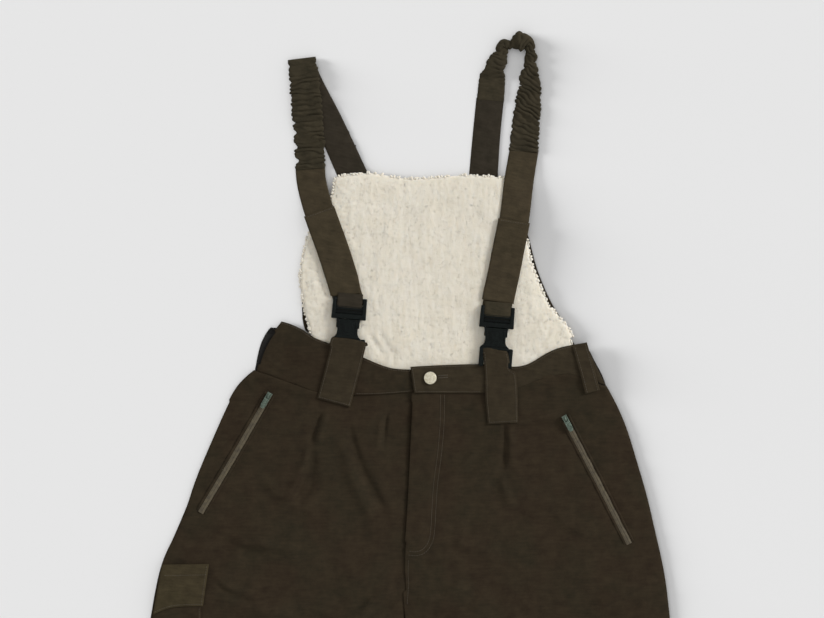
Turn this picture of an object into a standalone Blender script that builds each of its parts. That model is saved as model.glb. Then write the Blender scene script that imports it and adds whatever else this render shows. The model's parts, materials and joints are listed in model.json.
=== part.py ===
"""Hunting trousers with a high back bib and braces, laid flat on their back.

The garment is built in the order in which it lies: back legs, back waistband and bib on the
floor, then the pile lining, the fronts, the braces and the hardware. Each cut piece is a closed
solid of its own. Its edges come from short tables in millimetres, and its height from what it
lies on. +X is the wearer's left, +Y runs from the hems to the braces, and +Z is up. The origin
is on the floor, in the middle of the garment's footprint.
"""

import math
from collections import namedtuple

import bmesh
import bpy
from mathutils import Matrix, Vector
from mathutils.bvhtree import BVHTree

MM = 0.001

# Thickness of each kind of layer, mm
BACK_CLOTH = 2.5
FRONT_CLOTH = 2.0
BAND_CLOTH = 3.0
STRAP_CLOTH = 2.2
POCKET_CLOTH = 3.4
FLAP_CLOTH = 2.6
TAPE_CLOTH = 1.2
PILE = 7.6
SEAM = 0.3
WAIST_SEAM = 0.7
CROWN = 1.2

# Sizes of the braces and tabs, mm
STRAP_WIDTH = 39
FOLD_WIDTH = 42
TAB_WIDTH = 45
ZIP_WIDTH = 10
LOOP_WIDTH = 20

Point = namedtuple("Point", "at value")
Fold = namedtuple("Fold", "x0 y0 x1 y1 width height")
Station = namedtuple("Station", "x y width")
Piece = namedtuple("Piece", "place columns rows")

# Buckles, mm. A buckle's own origin is where its halves meet, with its strap frame at +Y
BUCKLE_WIDTH = 46
BUCKLE_FRAME_LENGTH = 29
BUCKLE_FRAME_CORNER = 2.5
BUCKLE_RAIL = 5
BUCKLE_SLOTS = ((7.5, 12.5), (18, 24))
BUCKLE_BODY_LENGTH = 21
BUCKLE_BODY_HEIGHT = 7.5
BUCKLE_BODY_HALF_WIDTHS = (Point(-0.3, 16), Point(-9, 13.5), Point(-21, 14))
BUCKLE_END_LENGTH = 15
BUCKLE_END_CORNER = 3
BUCKLE_END_RAIL = 4
BUCKLE_END_SLOT = (4, 9)
BUCKLE_PLATE = 4.0
BUCKLE_TILT_DEGREES = -5
RIGHT_BUCKLE_PLACE = (-79.5, 408.5)
LEFT_BUCKLE_PLACE = (114.5, 397)

# Waist button, mm: its profile gives the radius as a share, and the drop from its height
BUTTON_PLACE = (28, 332)
BUTTON_RADIUS = 9.2
BUTTON_HEIGHT = 3.0
BUTTON_PROFILE = ((0, 1.0), (0.6, 1.0), (0.78, 0), (0.93, 0), (1, 0.7), (1, 2.4), (0.9, 3.0), (0, 3.0))

# Zip slider and its pull, mm. The pull hinges on a pin under the slider's crown
SLIDER_LENGTH = 9
SLIDER_WIDTH = 8
SLIDER_END_WIDTH = 5.2
SLIDER_HEIGHT = 2.2
SLIDER_DOWN_TAPE = 3
CROWN_HALF_LENGTH = 2.6
CROWN_HEIGHT = 3.4
CROWN_WIRE = 0.8
CROWN_ROOT = 0.6
CROWN_HALF_WIDTH = 1
PULL_LENGTH = 19
PULL_SHOULDER = 15
PULL_WIDTH = 7
PULL_TIP_WIDTH = 4.4
PULL_EYE_WIDTH = 4
PULL_EYE_LENGTH = 4.05
PULL_EYE_WALL = 1.1
PULL_PLATE = 1.0
PULL_PIN_HEIGHT = 1.6
PULL_DROOP_DEGREES = 7

# How finely a layer is felt for what lies under it
FEELERS = 8
SKY = 100


# Edges of the panels. Side edges give x at a height y, end edges give y at a place x.
RIGHT_OUTSEAM = (
    Point(-788, -371),
    Point(-358, -368),
    Point(-94, -355),
    Point(14, -341),
    Point(53, -334),
    Point(81, -329),
    Point(102, -321),
    Point(125, -308),
    Point(141, -299),
    Point(188, -285),
    Point(239, -264),
    Point(291, -241),
    Point(322, -225),
    Point(341, -203),
)
LEFT_OUTSEAM = (
    Point(-788, 371),
    Point(-358, 371),
    Point(-94, 358),
    Point(14, 344),
    Point(46, 341),
    Point(85, 335),
    Point(127, 325),
    Point(172, 315),
    Point(223, 300),
    Point(263, 288),
    Point(294, 275),
    Point(322, 260),
)
RIGHT_INSEAM = (
    Point(-788, -120),
    Point(-550, -93),
    Point(-300, -62),
    Point(-100, -32),
    Point(-20, -15),
    Point(28, -7),
)
LEFT_INSEAM = (
    Point(-788, 120),
    Point(-550, 90),
    Point(-300, 54),
    Point(-100, 20),
    Point(-20, 4),
    Point(28, -6),
)
CENTRE_BACK = (Point(28, -6.5), Point(330, 3))
RIGHT_FLY_UNDERLAP = (
    Point(28, -7),
    Point(38, -5),
    Point(92, -9),
    Point(102, -6),
    Point(118, 7),
    Point(320, 18),
)
LEFT_FLY_EDGE = (
    Point(28, -6),
    Point(38, -4),
    Point(91, -7.6),
    Point(111, -5.3),
    Point(320, 5.8),
)
RIGHT_BAND_SEAM = (
    Point(-203, 341),
    Point(-148, 321),
    Point(-120, 312),
    Point(-57, 309),
    Point(18, 314),
)
LEFT_BAND_SEAM = (
    Point(6, 312),
    Point(94, 311.5),
    Point(144, 318),
    Point(164, 326),
    Point(184, 332.6),
    Point(209, 336.6),
    Point(235, 331),
    Point(260, 321.5),
)
RIGHT_WAIST_EDGE = (
    Point(-168, 406),
    Point(-157, 403),
    Point(-141, 392),
    Point(-117, 381.5),
    Point(-101, 376),
    Point(-58, 358),
    Point(-40, 350),
    Point(-21, 344),
    Point(18, 342),
)
LEFT_WAIST_EDGE = (
    Point(2, 346.5),
    Point(25, 348),
    Point(94, 350),
    Point(136, 346.5),
    Point(150, 346.5),
    Point(164, 354),
    Point(195, 371),
    Point(234, 378.5),
)
RIGHT_BAND_SIDE = (
    Point(341, -201),
    Point(359, -196.5),
    Point(387, -184),
    Point(406, -168),
)
LEFT_BAND_SIDE = (
    Point(322, 259),
    Point(334, 254),
    Point(357, 241),
    Point(378, 233),
)
BAND_FLY_EDGE = (Point(312, 6.9), Point(347, 1.8))
BAND_FLY_UNDERLAP = (Point(312, 18), Point(347, 16))
BACK_BAND_SEAM = (Point(-203, 340.5), Point(260, 321.4))
BACK_BAND_TOP = (Point(-168, 406), Point(233, 378))
BACK_BAND_RIGHT_SIDE = (
    Point(340.5, -203.5),
    Point(359, -200),
    Point(387, -187),
    Point(402, -176),
    Point(406, -168),
)
BACK_BAND_LEFT_SIDE = (
    Point(321.4, 260),
    Point(334, 256),
    Point(357, 243),
    Point(378, 234),
)
BIB_TOP = (
    Point(-98, 595),
    Point(-53, 600),
    Point(0, 592.5),
    Point(78, 597),
    Point(126, 594),
)
BIB_RIGHT_SIDE = (
    Point(398, -131),
    Point(416, -137),
    Point(437, -141),
    Point(462, -144),
    Point(494, -140),
    Point(520, -134),
    Point(568, -103),
    Point(597, -97),
)
BIB_LEFT_SIDE = (
    Point(380, 223),
    Point(389, 217),
    Point(418, 194),
    Point(452, 178),
    Point(483, 166),
    Point(515, 159),
    Point(597, 128),
)
LINING_FOOT = (Point(-125, 352), Point(0, 306), Point(120, 306), Point(222, 346))
LINING_RIGHT_SIDE = (Point(350, -124), Point(398, -131.5)) + BIB_RIGHT_SIDE[1:]
LINING_LEFT_SIDE = (
    Point(345, 219),
    Point(389, 212),
    Point(418, 189),
    Point(452, 173.5),
    Point(483, 162),
    Point(515, 155.5),
    Point(597, 126),
)
# The pile is thin where the fronts lie on it, and thins towards its edges
PILE_OVERHANG = 1.6
PILE_PRESSED = 1.8
PILE_HIDDEN_DEPTH = 46
PILE_RIM_SHARE = 0.45
PILE_LUMP = 0.5
STRAP_RIGHT_OUTER = (Point(597, -94), Point(748, -160))
STRAP_RIGHT_INNER = (Point(597, -52), Point(675, -88.5), Point(735, -119), Point(748, -124))
STRAP_LEFT_INNER = (Point(597, 79), Point(652, 84), Point(701, 89))
STRAP_LEFT_OUTER = (Point(597, 117), Point(652, 120.5), Point(701, 125.5))
STRAP_RIGHT_BACK_END = 747

# Middle line and width of the strap runs, from the shoulder down to the buckle
RIGHT_RUN = (
    Station(-141.5, 753, 37),
    Station(-139.3, 735, 39),
    Station(-136, 705, 40),
    Station(-134.2, 678, 41),
    Station(-131.5, 638, 40),
    Station(-130.3, 610, 39),
    Station(-129, 591, STRAP_WIDTH),
    Station(-121.4, 561, STRAP_WIDTH),
    Station(-113.5, 538, STRAP_WIDTH),
    Station(-97.7, 494, STRAP_WIDTH),
    Station(-80.5, 438, STRAP_WIDTH),
    Station(-78.5, 425, STRAP_WIDTH),
)
LEFT_RUN = (
    Station(107.3, 700, 36),
    Station(110, 727, 35),
    Station(114, 748, 29),
    Station(120, 766, 20),
    Station(132.5, 777, 18),
    Station(146, 779, 18),
    Station(158, 770, 19),
    Station(162.5, 751, 19),
    Station(160, 728, 27),
    Station(159, 713, 33),
    Station(156.8, 682, 35),
    Station(154.2, 652, 38),
    Station(151.8, 632, 38),
    Station(144.8, 591, STRAP_WIDTH),
    Station(138.6, 541, STRAP_WIDTH),
    Station(130.4, 500, STRAP_WIDTH),
    Station(124.7, 470, STRAP_WIDTH),
    Station(117, 435, STRAP_WIDTH),
    Station(115, 416, STRAP_WIDTH),
)
# Shares of the run's length at which the elastic ends and the turned-back end starts and stops
RIGHT_ELASTIC_SHARE = 0.430
RIGHT_FOLD_SHARE = (0.61, 0.93)
LEFT_ELASTIC_SHARE = 0.535
LEFT_FOLD_SHARE = (0.735, 0.964)
RIGHT_GATHERS = 14
LEFT_GATHERS = 24
GATHER_DEPTH = 2.0
GATHER_WIDTH = 1.6
BACK_GATHER_DEPTH = 0.9
ELASTIC_CLOTH = 3.2
ARCH_CLOTH = 9.5
ARCH_SHARE = (0.14, 0.64)

RIGHT_TAB = (Station(-77.5, 382, TAB_WIDTH), Station(-88, 340, TAB_WIDTH), Station(-99, 299, TAB_WIDTH))
LEFT_TAB = (Station(113, 366, 44), Station(120, 325, 44), Station(123.5, 272, 40))
LOOP_RUN = (Station(224, 376, LOOP_WIDTH), Station(233, 345, LOOP_WIDTH), Station(241.5, 313, LOOP_WIDTH))
RIGHT_ZIP = (Station(-183, 311, ZIP_WIDTH), Station(-230, 229, ZIP_WIDTH), Station(-274.6, 154, ZIP_WIDTH))
LEFT_ZIP = (Station(204, 281, ZIP_WIDTH), Station(246, 201, ZIP_WIDTH), Station(290.4, 113, ZIP_WIDTH))

# The cargo pocket runs off round the side of the right leg
POCKET_TOP = (Point(-345, 80), Point(-262, 80))
POCKET_FOOT = (Point(-370, -118), Point(-262, -126))
POCKET_INNER = (Point(-126, -275), Point(80, -273))
FLAP_TOP = (Point(-345, 86), Point(-262, 87))
FLAP_FOOT = (Point(-345, 15), Point(-328, 25), Point(-304, 31), Point(-262, 32))
FLAP_INNER = (Point(31, -271), Point(87, -263))
POCKET_INSET = 3.0
POCKET_EDGE_SHARE = 0.7
POCKET_BULGE_SHARE = 0.5
COIL_RISE = 0.9

# Soft folds of the fronts: ridges stand up, troughs go down, mm
RIGHT_FOLDS = (
    Fold(-108, 312, -140, 215, 9, -1.2),
    Fold(-122, 300, -160, 190, 10, 3.2),
    Fold(-96, 300, -112, 200, 12, 2.4),
    Fold(-26, 305, -34, 225, 8, -1.2),
    Fold(-40, 305, -48, 215, 9, 2.2),
    Fold(-80, 276, -20, 138, 13, 2.6),
    Fold(-272, 66, -190, 40, 11, 2.4),
    Fold(-215, 123, -137, 106, 12, 2.0),
    Fold(-66, 24, -10, 58, 11, 2.6),
    Fold(-150, -20, -40, 22, 14, 2.2),
    Fold(-330, -190, -190, -150, 16, 2.8),
    Fold(-110, -250, -260, -215, 16, 2.4),
    Fold(-340, -330, -200, -360, 18, 3.0),
    Fold(-95, -420, -240, -395, 18, 2.6),
    Fold(-345, -560, -230, -520, 18, 2.2),
)
LEFT_FOLDS = (
    Fold(126, 300, 124, 190, 8, -1.2),
    Fold(112, 298, 112, 180, 11, 2.6),
    Fold(140, 300, 142, 150, 12, 2.8),
    Fold(126, 271, 197, 286, 7, 2.0),
    Fold(17, 94, 90, 110, 10, 2.2),
    Fold(8, 40, 80, 66, 12, 2.6),
    Fold(40, -8, 170, 26, 14, 2.2),
    Fold(300, 40, 190, 78, 13, 2.2),
    Fold(340, -170, 200, -140, 16, 2.8),
    Fold(90, -240, 250, -205, 16, 2.4),
    Fold(345, -320, 190, -350, 18, 3.0),
    Fold(95, -420, 230, -385, 18, 2.6),
    Fold(350, -580, 220, -530, 18, 2.2),
)

COLOURS = {
    "moleskin": ((0.030, 0.020, 0.013), 0.95, 0.0),
    "strap": ((0.030, 0.024, 0.016), 0.95, 0.0),
    "sherpa": ((0.72, 0.66, 0.57), 1.0, 0.0),
    "tape": ((0.107, 0.087, 0.054), 0.9, 0.0),
    "buckle": ((0.012, 0.016, 0.016), 0.45, 0.0),
    "metal": ((0.16, 0.21, 0.17), 0.4, 1.0),
    "button": ((0.62, 0.55, 0.42), 0.35, 1.0),
}


def clear_scene():
    for thing in list(bpy.data.objects):
        bpy.data.objects.remove(thing, do_unlink=True)


def new_collection(name):
    collection = bpy.data.collections.new(name)
    bpy.context.scene.collection.children.link(collection)
    return collection


def new_material(name, kind):
    colour, roughness, metallic = COLOURS[kind]
    material = bpy.data.materials.new(name)
    material.use_nodes = True
    shader = material.node_tree.nodes["Principled BSDF"]
    shader.inputs["Base Color"].default_value = (*colour, 1)
    shader.inputs["Roughness"].default_value = roughness
    shader.inputs["Metallic"].default_value = metallic
    material.diffuse_color = (*colour, 1)
    return material


def mix(start, end, share):
    return start + (end - start) * share


def ease(share):
    """A smooth step from 0 to 1."""
    share = min(1, max(0, share))
    return share * share * (3 - 2 * share)


def value(table, at):
    """Read a table of points as a smooth curve that never overshoots them."""
    if callable(table):
        return table(at)
    if at <= table[0].at:
        return table[0].value
    if at >= table[-1].at:
        return table[-1].value
    slopes = [(b.value - a.value) / (b.at - a.at) for a, b in zip(table, table[1:])]
    tangents = [slopes[0]]
    for before, after in zip(slopes, slopes[1:]):
        steady = before * after > 0
        tangents.append(2 * before * after / (before + after) if steady else 0)
    tangents.append(slopes[-1])
    for i, (a, b) in enumerate(zip(table, table[1:])):
        if at <= b.at:
            span = b.at - a.at
            t = (at - a.at) / span
            rise = (tangents[i] * (1 - t) - tangents[i + 1] * t) * t * (1 - t) * span
            return mix(a.value, b.value, ease(t)) + rise
    return table[-1].value


def shifted(table, by):
    if callable(table):
        return lambda at: table(at) + by
    return tuple(Point(point.at, point.value + by) for point in table)


def cornered(lower, upper):
    """Two curves that meet at a corner, such as an inseam and the centre seam above it."""
    return lambda at: value(lower, at) if at <= lower[-1].at else value(upper, at)


def panel(left, right, foot, top):
    """Place points between two side edges and two end edges: u runs across, v runs up."""

    def place(u, v):
        y = mix(foot[0].value, top[0].value, v)
        for _ in range(12):
            x = mix(value(left, y), value(right, y), u)
            y = mix(value(foot, x), value(top, x), v)
        return x, y

    return place


def run_length(stations):
    return sum(math.dist(a[:2], b[:2]) for a, b in zip(stations, stations[1:]))


def station_at(stations, share):
    """Read a run of stations as a smooth line, at a share of its length."""
    left = share * run_length(stations)
    last = len(stations) - 2
    for i, (a, b) in enumerate(zip(stations, stations[1:])):
        span = math.dist(a[:2], b[:2])
        if left <= span or i == last:
            break
        left -= span
    t = left / span
    before = stations[max(0, i - 1)]
    after = stations[min(len(stations) - 1, i + 2)]
    found = []
    for p, q, r, s in zip(before, a, b, after):
        curve = 2 * q + (r - p) * t + (2 * p - 5 * q + 4 * r - s) * t**2
        found.append((curve + (3 * q - p - 3 * r + s) * t**3) / 2)
    return Station(*found)


def strip(stations, start=0.0, end=1.0, wave=None):
    """Place points on a strip that follows a run of stations: u runs across, v along it."""
    step = 0.004

    def place(u, v):
        share = mix(start, end, v)
        here = station_at(stations, share)
        behind = station_at(stations, max(0, share - step))
        ahead = station_at(stations, min(1, share + step))
        dx = ahead.x - behind.x
        dy = ahead.y - behind.y
        length = math.hypot(dx, dy)
        width = here.width + (wave(v) if wave else 0)
        side = (u - 0.5) * width
        return here.x - dy / length * side, here.y + dx / length * side

    return place


def even(count):
    return [i / count for i in range(count + 1)]


def packed(count, power):
    """Shares from 0 to 1 that lie closer together towards 1."""
    return [1 - (1 - i / count) ** power for i in range(count + 1)]


def closed_mesh(name, under, over):
    """Close two grids of points, given in millimetres, into one solid with walls round it."""
    rows = len(under)
    columns = len(under[0])
    heights = [point[2] for row in under for point in row]
    flat = max(heights) - min(heights) < 1e-6
    shape = bmesh.new()
    lower = [[None] * columns for _ in range(rows)]
    upper = [[None] * columns for _ in range(rows)]
    for j in range(rows):
        for i in range(columns):
            rim = j in (0, rows - 1) or i in (0, columns - 1)
            upper[j][i] = shape.verts.new(Vector(over[j][i]) * MM)
            if rim or not flat:
                lower[j][i] = shape.verts.new(Vector(under[j][i]) * MM)
    for j in range(rows - 1):
        for i in range(columns - 1):
            corners = ((j, i), (j, i + 1), (j + 1, i + 1), (j + 1, i))
            shape.faces.new([upper[b][a] for b, a in corners])
            if not flat:
                shape.faces.new([lower[b][a] for b, a in reversed(corners)])
    rim = [(0, i) for i in range(columns)]
    rim += [(j, columns - 1) for j in range(1, rows)]
    rim += [(rows - 1, i) for i in range(columns - 2, -1, -1)]
    rim += [(j, 0) for j in range(rows - 2, 0, -1)]
    if flat:
        shape.faces.new([lower[b][a] for b, a in reversed(rim)])
    for (j, i), (n, m) in zip(rim, rim[1:] + rim[:1]):
        shape.faces.new([lower[j][i], lower[n][m], upper[n][m], upper[j][i]])
    bmesh.ops.recalc_face_normals(shape, faces=shape.faces)
    mesh = bpy.data.meshes.new(name)
    shape.to_mesh(mesh)
    shape.free()
    return mesh


class Garment:
    """The pieces laid so far, and what each is made of."""

    def __init__(self, name):
        self.parts = new_collection(name)
        self.cutters = new_collection(name + "_cutters")
        self.trees = {}

    def add(self, name, mesh, kind, collection=None):
        thing = bpy.data.objects.new(name, mesh)
        (collection or self.parts).objects.link(thing)
        mesh.materials.append(new_material(name, kind))
        return thing

    def remember(self, thing):
        """Keep a finished piece's surface, so that later ones can lie on it."""
        bpy.context.view_layer.update()
        seen = thing.evaluated_get(bpy.context.evaluated_depsgraph_get())
        mesh = seen.to_mesh()
        mesh.transform(thing.matrix_world)
        points = [vertex.co.copy() for vertex in mesh.vertices]
        faces = [tuple(face.vertices) for face in mesh.polygons]
        self.trees[thing.name] = BVHTree.FromPolygons(points, faces)
        seen.to_mesh_clear()

    def top(self, names, x, y):
        """Height in millimetres of the highest of the named pieces at a place, or 0."""
        highest = 0
        for name in names:
            hit = self.trees[name].ray_cast(Vector((x, y, SKY)) * MM, Vector((0, 0, -1)))[0]
            if hit is not None:
                highest = max(highest, hit.z / MM)
        return highest

    def rests(self, names, grid):
        """Least height of each grid point that keeps the whole layer clear of what is below."""
        rows = len(grid)
        columns = len(grid[0])
        least = [[0.0] * columns for _ in range(rows)]
        if not names:
            return least
        for j in range(rows - 1):
            for i in range(columns - 1):
                highest = 0
                for a in even(FEELERS):
                    for b in even(FEELERS):
                        near = [mix(p, q, a) for p, q in zip(grid[j][i], grid[j][i + 1])]
                        far = [mix(p, q, a) for p, q in zip(grid[j + 1][i], grid[j + 1][i + 1])]
                        spot = [mix(p, q, b) for p, q in zip(near, far)]
                        highest = max(highest, self.top(names, *spot))
                if highest:
                    highest += SEAM
                for n, m in ((j, i), (j, i + 1), (j + 1, i), (j + 1, i + 1)):
                    least[n][m] = max(least[n][m], highest)
        return least

    def lay(self, name, kind, piece, thick, on=(), lift=None, bump=None, slack=0):
        """Lay a piece of cloth on others and make it a closed wall.

        lift raises both faces, bump only the upper one, and slack is how far the cloth
        bridges from what holds it up down to what lies beside it.
        """
        grid = [[piece.place(u, v) for u in piece.columns] for v in piece.rows]
        least = self.rests(on, grid)
        height = bridge(least, slack)
        under = []
        over = []
        for j, v in enumerate(piece.rows):
            low_row = []
            high_row = []
            for i, u in enumerate(piece.columns):
                x, y = grid[j][i]
                low = max(least[j][i], height[j][i] + (lift(u, v, x, y) if lift else 0))
                wall = thick(u, v) if callable(thick) else thick
                low_row.append((x, y, low))
                high_row.append((x, y, low + wall + (bump(u, v, j) if bump else 0)))
            under.append(low_row)
            over.append(high_row)
        thing = self.add(name, closed_mesh(name, under, over), kind)
        self.remember(thing)
        return thing


def bridge(least, rounds):
    """Let the cloth span softly between its supports, never below them."""
    height = [row[:] for row in least]
    rows = len(height)
    columns = len(height[0])
    for _ in range(rounds):
        before = [row[:] for row in height]
        for j in range(rows):
            for i in range(columns):
                near = [
                    before[n][m]
                    for n, m in ((j - 1, i), (j + 1, i), (j, i - 1), (j, i + 1))
                    if 0 <= n < rows and 0 <= m < columns
                ]
                height[j][i] = max(least[j][i], sum(near) / len(near))
    return height


def fold_height(folds, x, y):
    """Height of the soft folds at a place: each fades out along itself and across."""
    total = 0
    for fold in folds:
        dx = fold.x1 - fold.x0
        dy = fold.y1 - fold.y0
        length = math.hypot(dx, dy)
        along = ((x - fold.x0) * dx + (y - fold.y0) * dy) / length**2
        across = ((x - fold.x0) * dy - (y - fold.y0) * dx) / length
        fade = ease(min(along, 1 - along) * 3 + 0.35)
        total += fold.height * fade * math.exp(-((across / fold.width) ** 2))
    return total


def front_lift(folds, outseam, inseam):
    """Crown of a front leg, flat to the back at its side seams, with its folds."""

    def lift(u, v, x, y):
        edge = abs(x - value(outseam, y))
        if y < inseam[-1].at:
            edge = min(edge, abs(x - value(inseam, y)))
        soft = ease(edge / 30)
        return soft * (CROWN + fold_height(folds, x, y))

    return lift


def lay_backs(garment):
    """Back legs, back waistband and the bib's outer cloth, edge to edge on the floor."""
    seam = shifted(BACK_BAND_SEAM, -SEAM)
    hem = (Point(-371, -788), Point(371, -788))
    rows = packed(22, 1.25)
    columns = even(3)
    right_inner = cornered(RIGHT_INSEAM, shifted(CENTRE_BACK, -SEAM / 2))
    left_inner = cornered(LEFT_INSEAM, shifted(CENTRE_BACK, SEAM / 2))
    right = Piece(panel(RIGHT_OUTSEAM, right_inner, hem, seam), columns, rows)
    left = Piece(panel(left_inner, LEFT_OUTSEAM, hem, seam), columns, rows)
    garment.lay("leg_back_right", "moleskin", right, BACK_CLOTH)
    garment.lay("leg_back_left", "moleskin", left, BACK_CLOTH)
    band = panel(BACK_BAND_RIGHT_SIDE, BACK_BAND_LEFT_SIDE, BACK_BAND_SEAM, BACK_BAND_TOP)
    garment.lay("waistband_back", "moleskin", Piece(band, even(10), even(4)), BACK_CLOTH)
    foot = shifted(BACK_BAND_TOP, SEAM)
    bib = panel(BIB_RIGHT_SIDE, BIB_LEFT_SIDE, foot, BIB_TOP)
    garment.lay("bib_back", "moleskin", Piece(bib, even(8), even(9)), BACK_CLOTH)


def lay_back_straps(garment):
    """The brace runs that are sewn to the top of the bib; the right one gathers higher up."""
    foot = shifted(BIB_TOP, SEAM)
    right_end = (Point(-165, STRAP_RIGHT_BACK_END), Point(-50, STRAP_RIGHT_BACK_END))
    elastic = strip(LEFT_RUN)
    left_end = tuple(Point(x, y - SEAM) for x, y in (elastic(1, 0), elastic(0, 0)))

    def gathered(u, v, row):
        return BACK_GATHER_DEPTH * (row % 2) * ease((v - 0.45) * 4)

    right = Piece(panel(STRAP_RIGHT_OUTER, STRAP_RIGHT_INNER, foot, right_end), even(4), even(20))
    left = Piece(panel(STRAP_LEFT_INNER, STRAP_LEFT_OUTER, foot, left_end), even(3), even(8))
    garment.lay("strap_back_right", "strap", right, STRAP_CLOTH, bump=gathered)
    garment.lay("strap_back_left", "strap", left, STRAP_CLOTH)


def lay_lining(garment):
    """The bib's pile lining: thick and softly uneven, thin where the fronts lie on it."""
    top = shifted(BIB_TOP, PILE_OVERHANG)
    place = panel(LINING_RIGHT_SIDE, LINING_LEFT_SIDE, LINING_FOOT, top)

    def thick(u, v):
        x, y = place(u, v)
        shown = ease((y - value(LINING_FOOT, x)) / PILE_HIDDEN_DEPTH)
        rim = ease(min(u, 1 - u) * 9 + 0.3) * ease((1 - v) * 14 + 0.3)
        lumps = PILE_LUMP * math.sin(0.11 * x + 0.05 * y) * math.sin(0.09 * y - 0.04 * x)
        full = mix(PILE_RIM_SHARE, 1, rim)
        return PILE_PRESSED + (PILE - PILE_PRESSED) * shown * full + lumps * shown * rim

    piece = Piece(place, even(18), even(22))
    backs = ("bib_back", "waistband_back", "leg_back_right", "leg_back_left")
    garment.lay("bib_lining", "sherpa", piece, thick, on=backs)


def lay_fronts(garment):
    """Front legs and waistband; the left front laps over the right one at the fly."""
    backs = ("leg_back_right", "leg_back_left", "waistband_back", "bib_lining")
    hem = (Point(-371, -788), Point(371, -788))
    rows = packed(34, 1.35)
    columns = even(17)

    inner = cornered(RIGHT_INSEAM, RIGHT_FLY_UNDERLAP)
    place = panel(RIGHT_OUTSEAM, inner, hem, shifted(RIGHT_BAND_SEAM, -WAIST_SEAM))
    lift = front_lift(RIGHT_FOLDS, RIGHT_OUTSEAM, RIGHT_INSEAM)
    piece = Piece(place, columns, rows)
    garment.lay("leg_front_right", "moleskin", piece, FRONT_CLOTH, on=backs, lift=lift, slack=14)

    place = panel(RIGHT_BAND_SIDE, BAND_FLY_UNDERLAP, RIGHT_BAND_SEAM, RIGHT_WAIST_EDGE)
    piece = Piece(place, columns, even(3))
    garment.lay("waistband_front_right", "moleskin", piece, BAND_CLOTH, on=backs, slack=3)

    lapped = backs + ("leg_front_right", "waistband_front_right")
    inner = cornered(LEFT_INSEAM, LEFT_FLY_EDGE)
    place = panel(inner, LEFT_OUTSEAM, hem, shifted(LEFT_BAND_SEAM, -WAIST_SEAM))
    lift = front_lift(LEFT_FOLDS, LEFT_OUTSEAM, LEFT_INSEAM)
    piece = Piece(place, columns, rows)
    garment.lay("leg_front_left", "moleskin", piece, FRONT_CLOTH, on=lapped, lift=lift, slack=14)

    lapped = backs + ("waistband_front_right",)
    place = panel(BAND_FLY_EDGE, LEFT_BAND_SIDE, LEFT_BAND_SEAM, LEFT_WAIST_EDGE)
    piece = Piece(place, columns, even(3))
    garment.lay("waistband_front_left", "moleskin", piece, BAND_CLOTH, on=lapped, slack=3)


def lay_pockets(garment):
    """Zip tapes, the cargo pocket and its flap, and the belt loop."""
    outer = shifted(RIGHT_OUTSEAM, POCKET_INSET)
    place = panel(outer, POCKET_INNER, POCKET_FOOT, POCKET_TOP)

    def full(u, v):
        bulge = math.sin(math.pi * u) * math.sin(math.pi * v)
        return POCKET_CLOTH * (POCKET_EDGE_SHARE + POCKET_BULGE_SHARE * bulge)

    piece = Piece(place, even(6), even(14))
    garment.lay("cargo_pocket_right", "moleskin", piece, full, on=("leg_front_right",))
    place = panel(outer, FLAP_INNER, FLAP_FOOT, FLAP_TOP)
    piece = Piece(place, even(6), even(5))
    under = ("leg_front_right", "cargo_pocket_right")
    garment.lay("cargo_flap_right", "moleskin", piece, FLAP_CLOTH, on=under)

    def coil(u, v, row):
        return COIL_RISE * math.sin(math.pi * u)

    for side, stations in (("right", RIGHT_ZIP), ("left", LEFT_ZIP)):
        piece = Piece(strip(stations), even(2), even(16))
        under = ("leg_front_" + side,)
        garment.lay("pocket_zip_" + side, "tape", piece, TAPE_CLOTH, on=under, bump=coil)

    piece = Piece(strip(LOOP_RUN), even(2), even(7))
    under = ("leg_front_left", "waistband_front_left", "bib_lining")
    garment.lay("belt_loop_left", "moleskin", piece, STRAP_CLOTH, on=under, slack=2)


def gathers(rows):
    """Cloth bunched on elastic: every second row stands up, no two of them alike."""

    def bump(u, v, row):
        uneven = 0.75 + 0.25 * math.sin(2.4 * row + 3 * u)
        bulge = 0.35 + 0.65 * math.sin(math.pi * u)
        return GATHER_DEPTH * (row % 2) * uneven * bulge

    def wave(v):
        row = round(v * rows)
        return GATHER_WIDTH * ((row % 2) - 0.5) * (1 + 0.4 * math.sin(1.7 * row))

    return bump, wave


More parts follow.
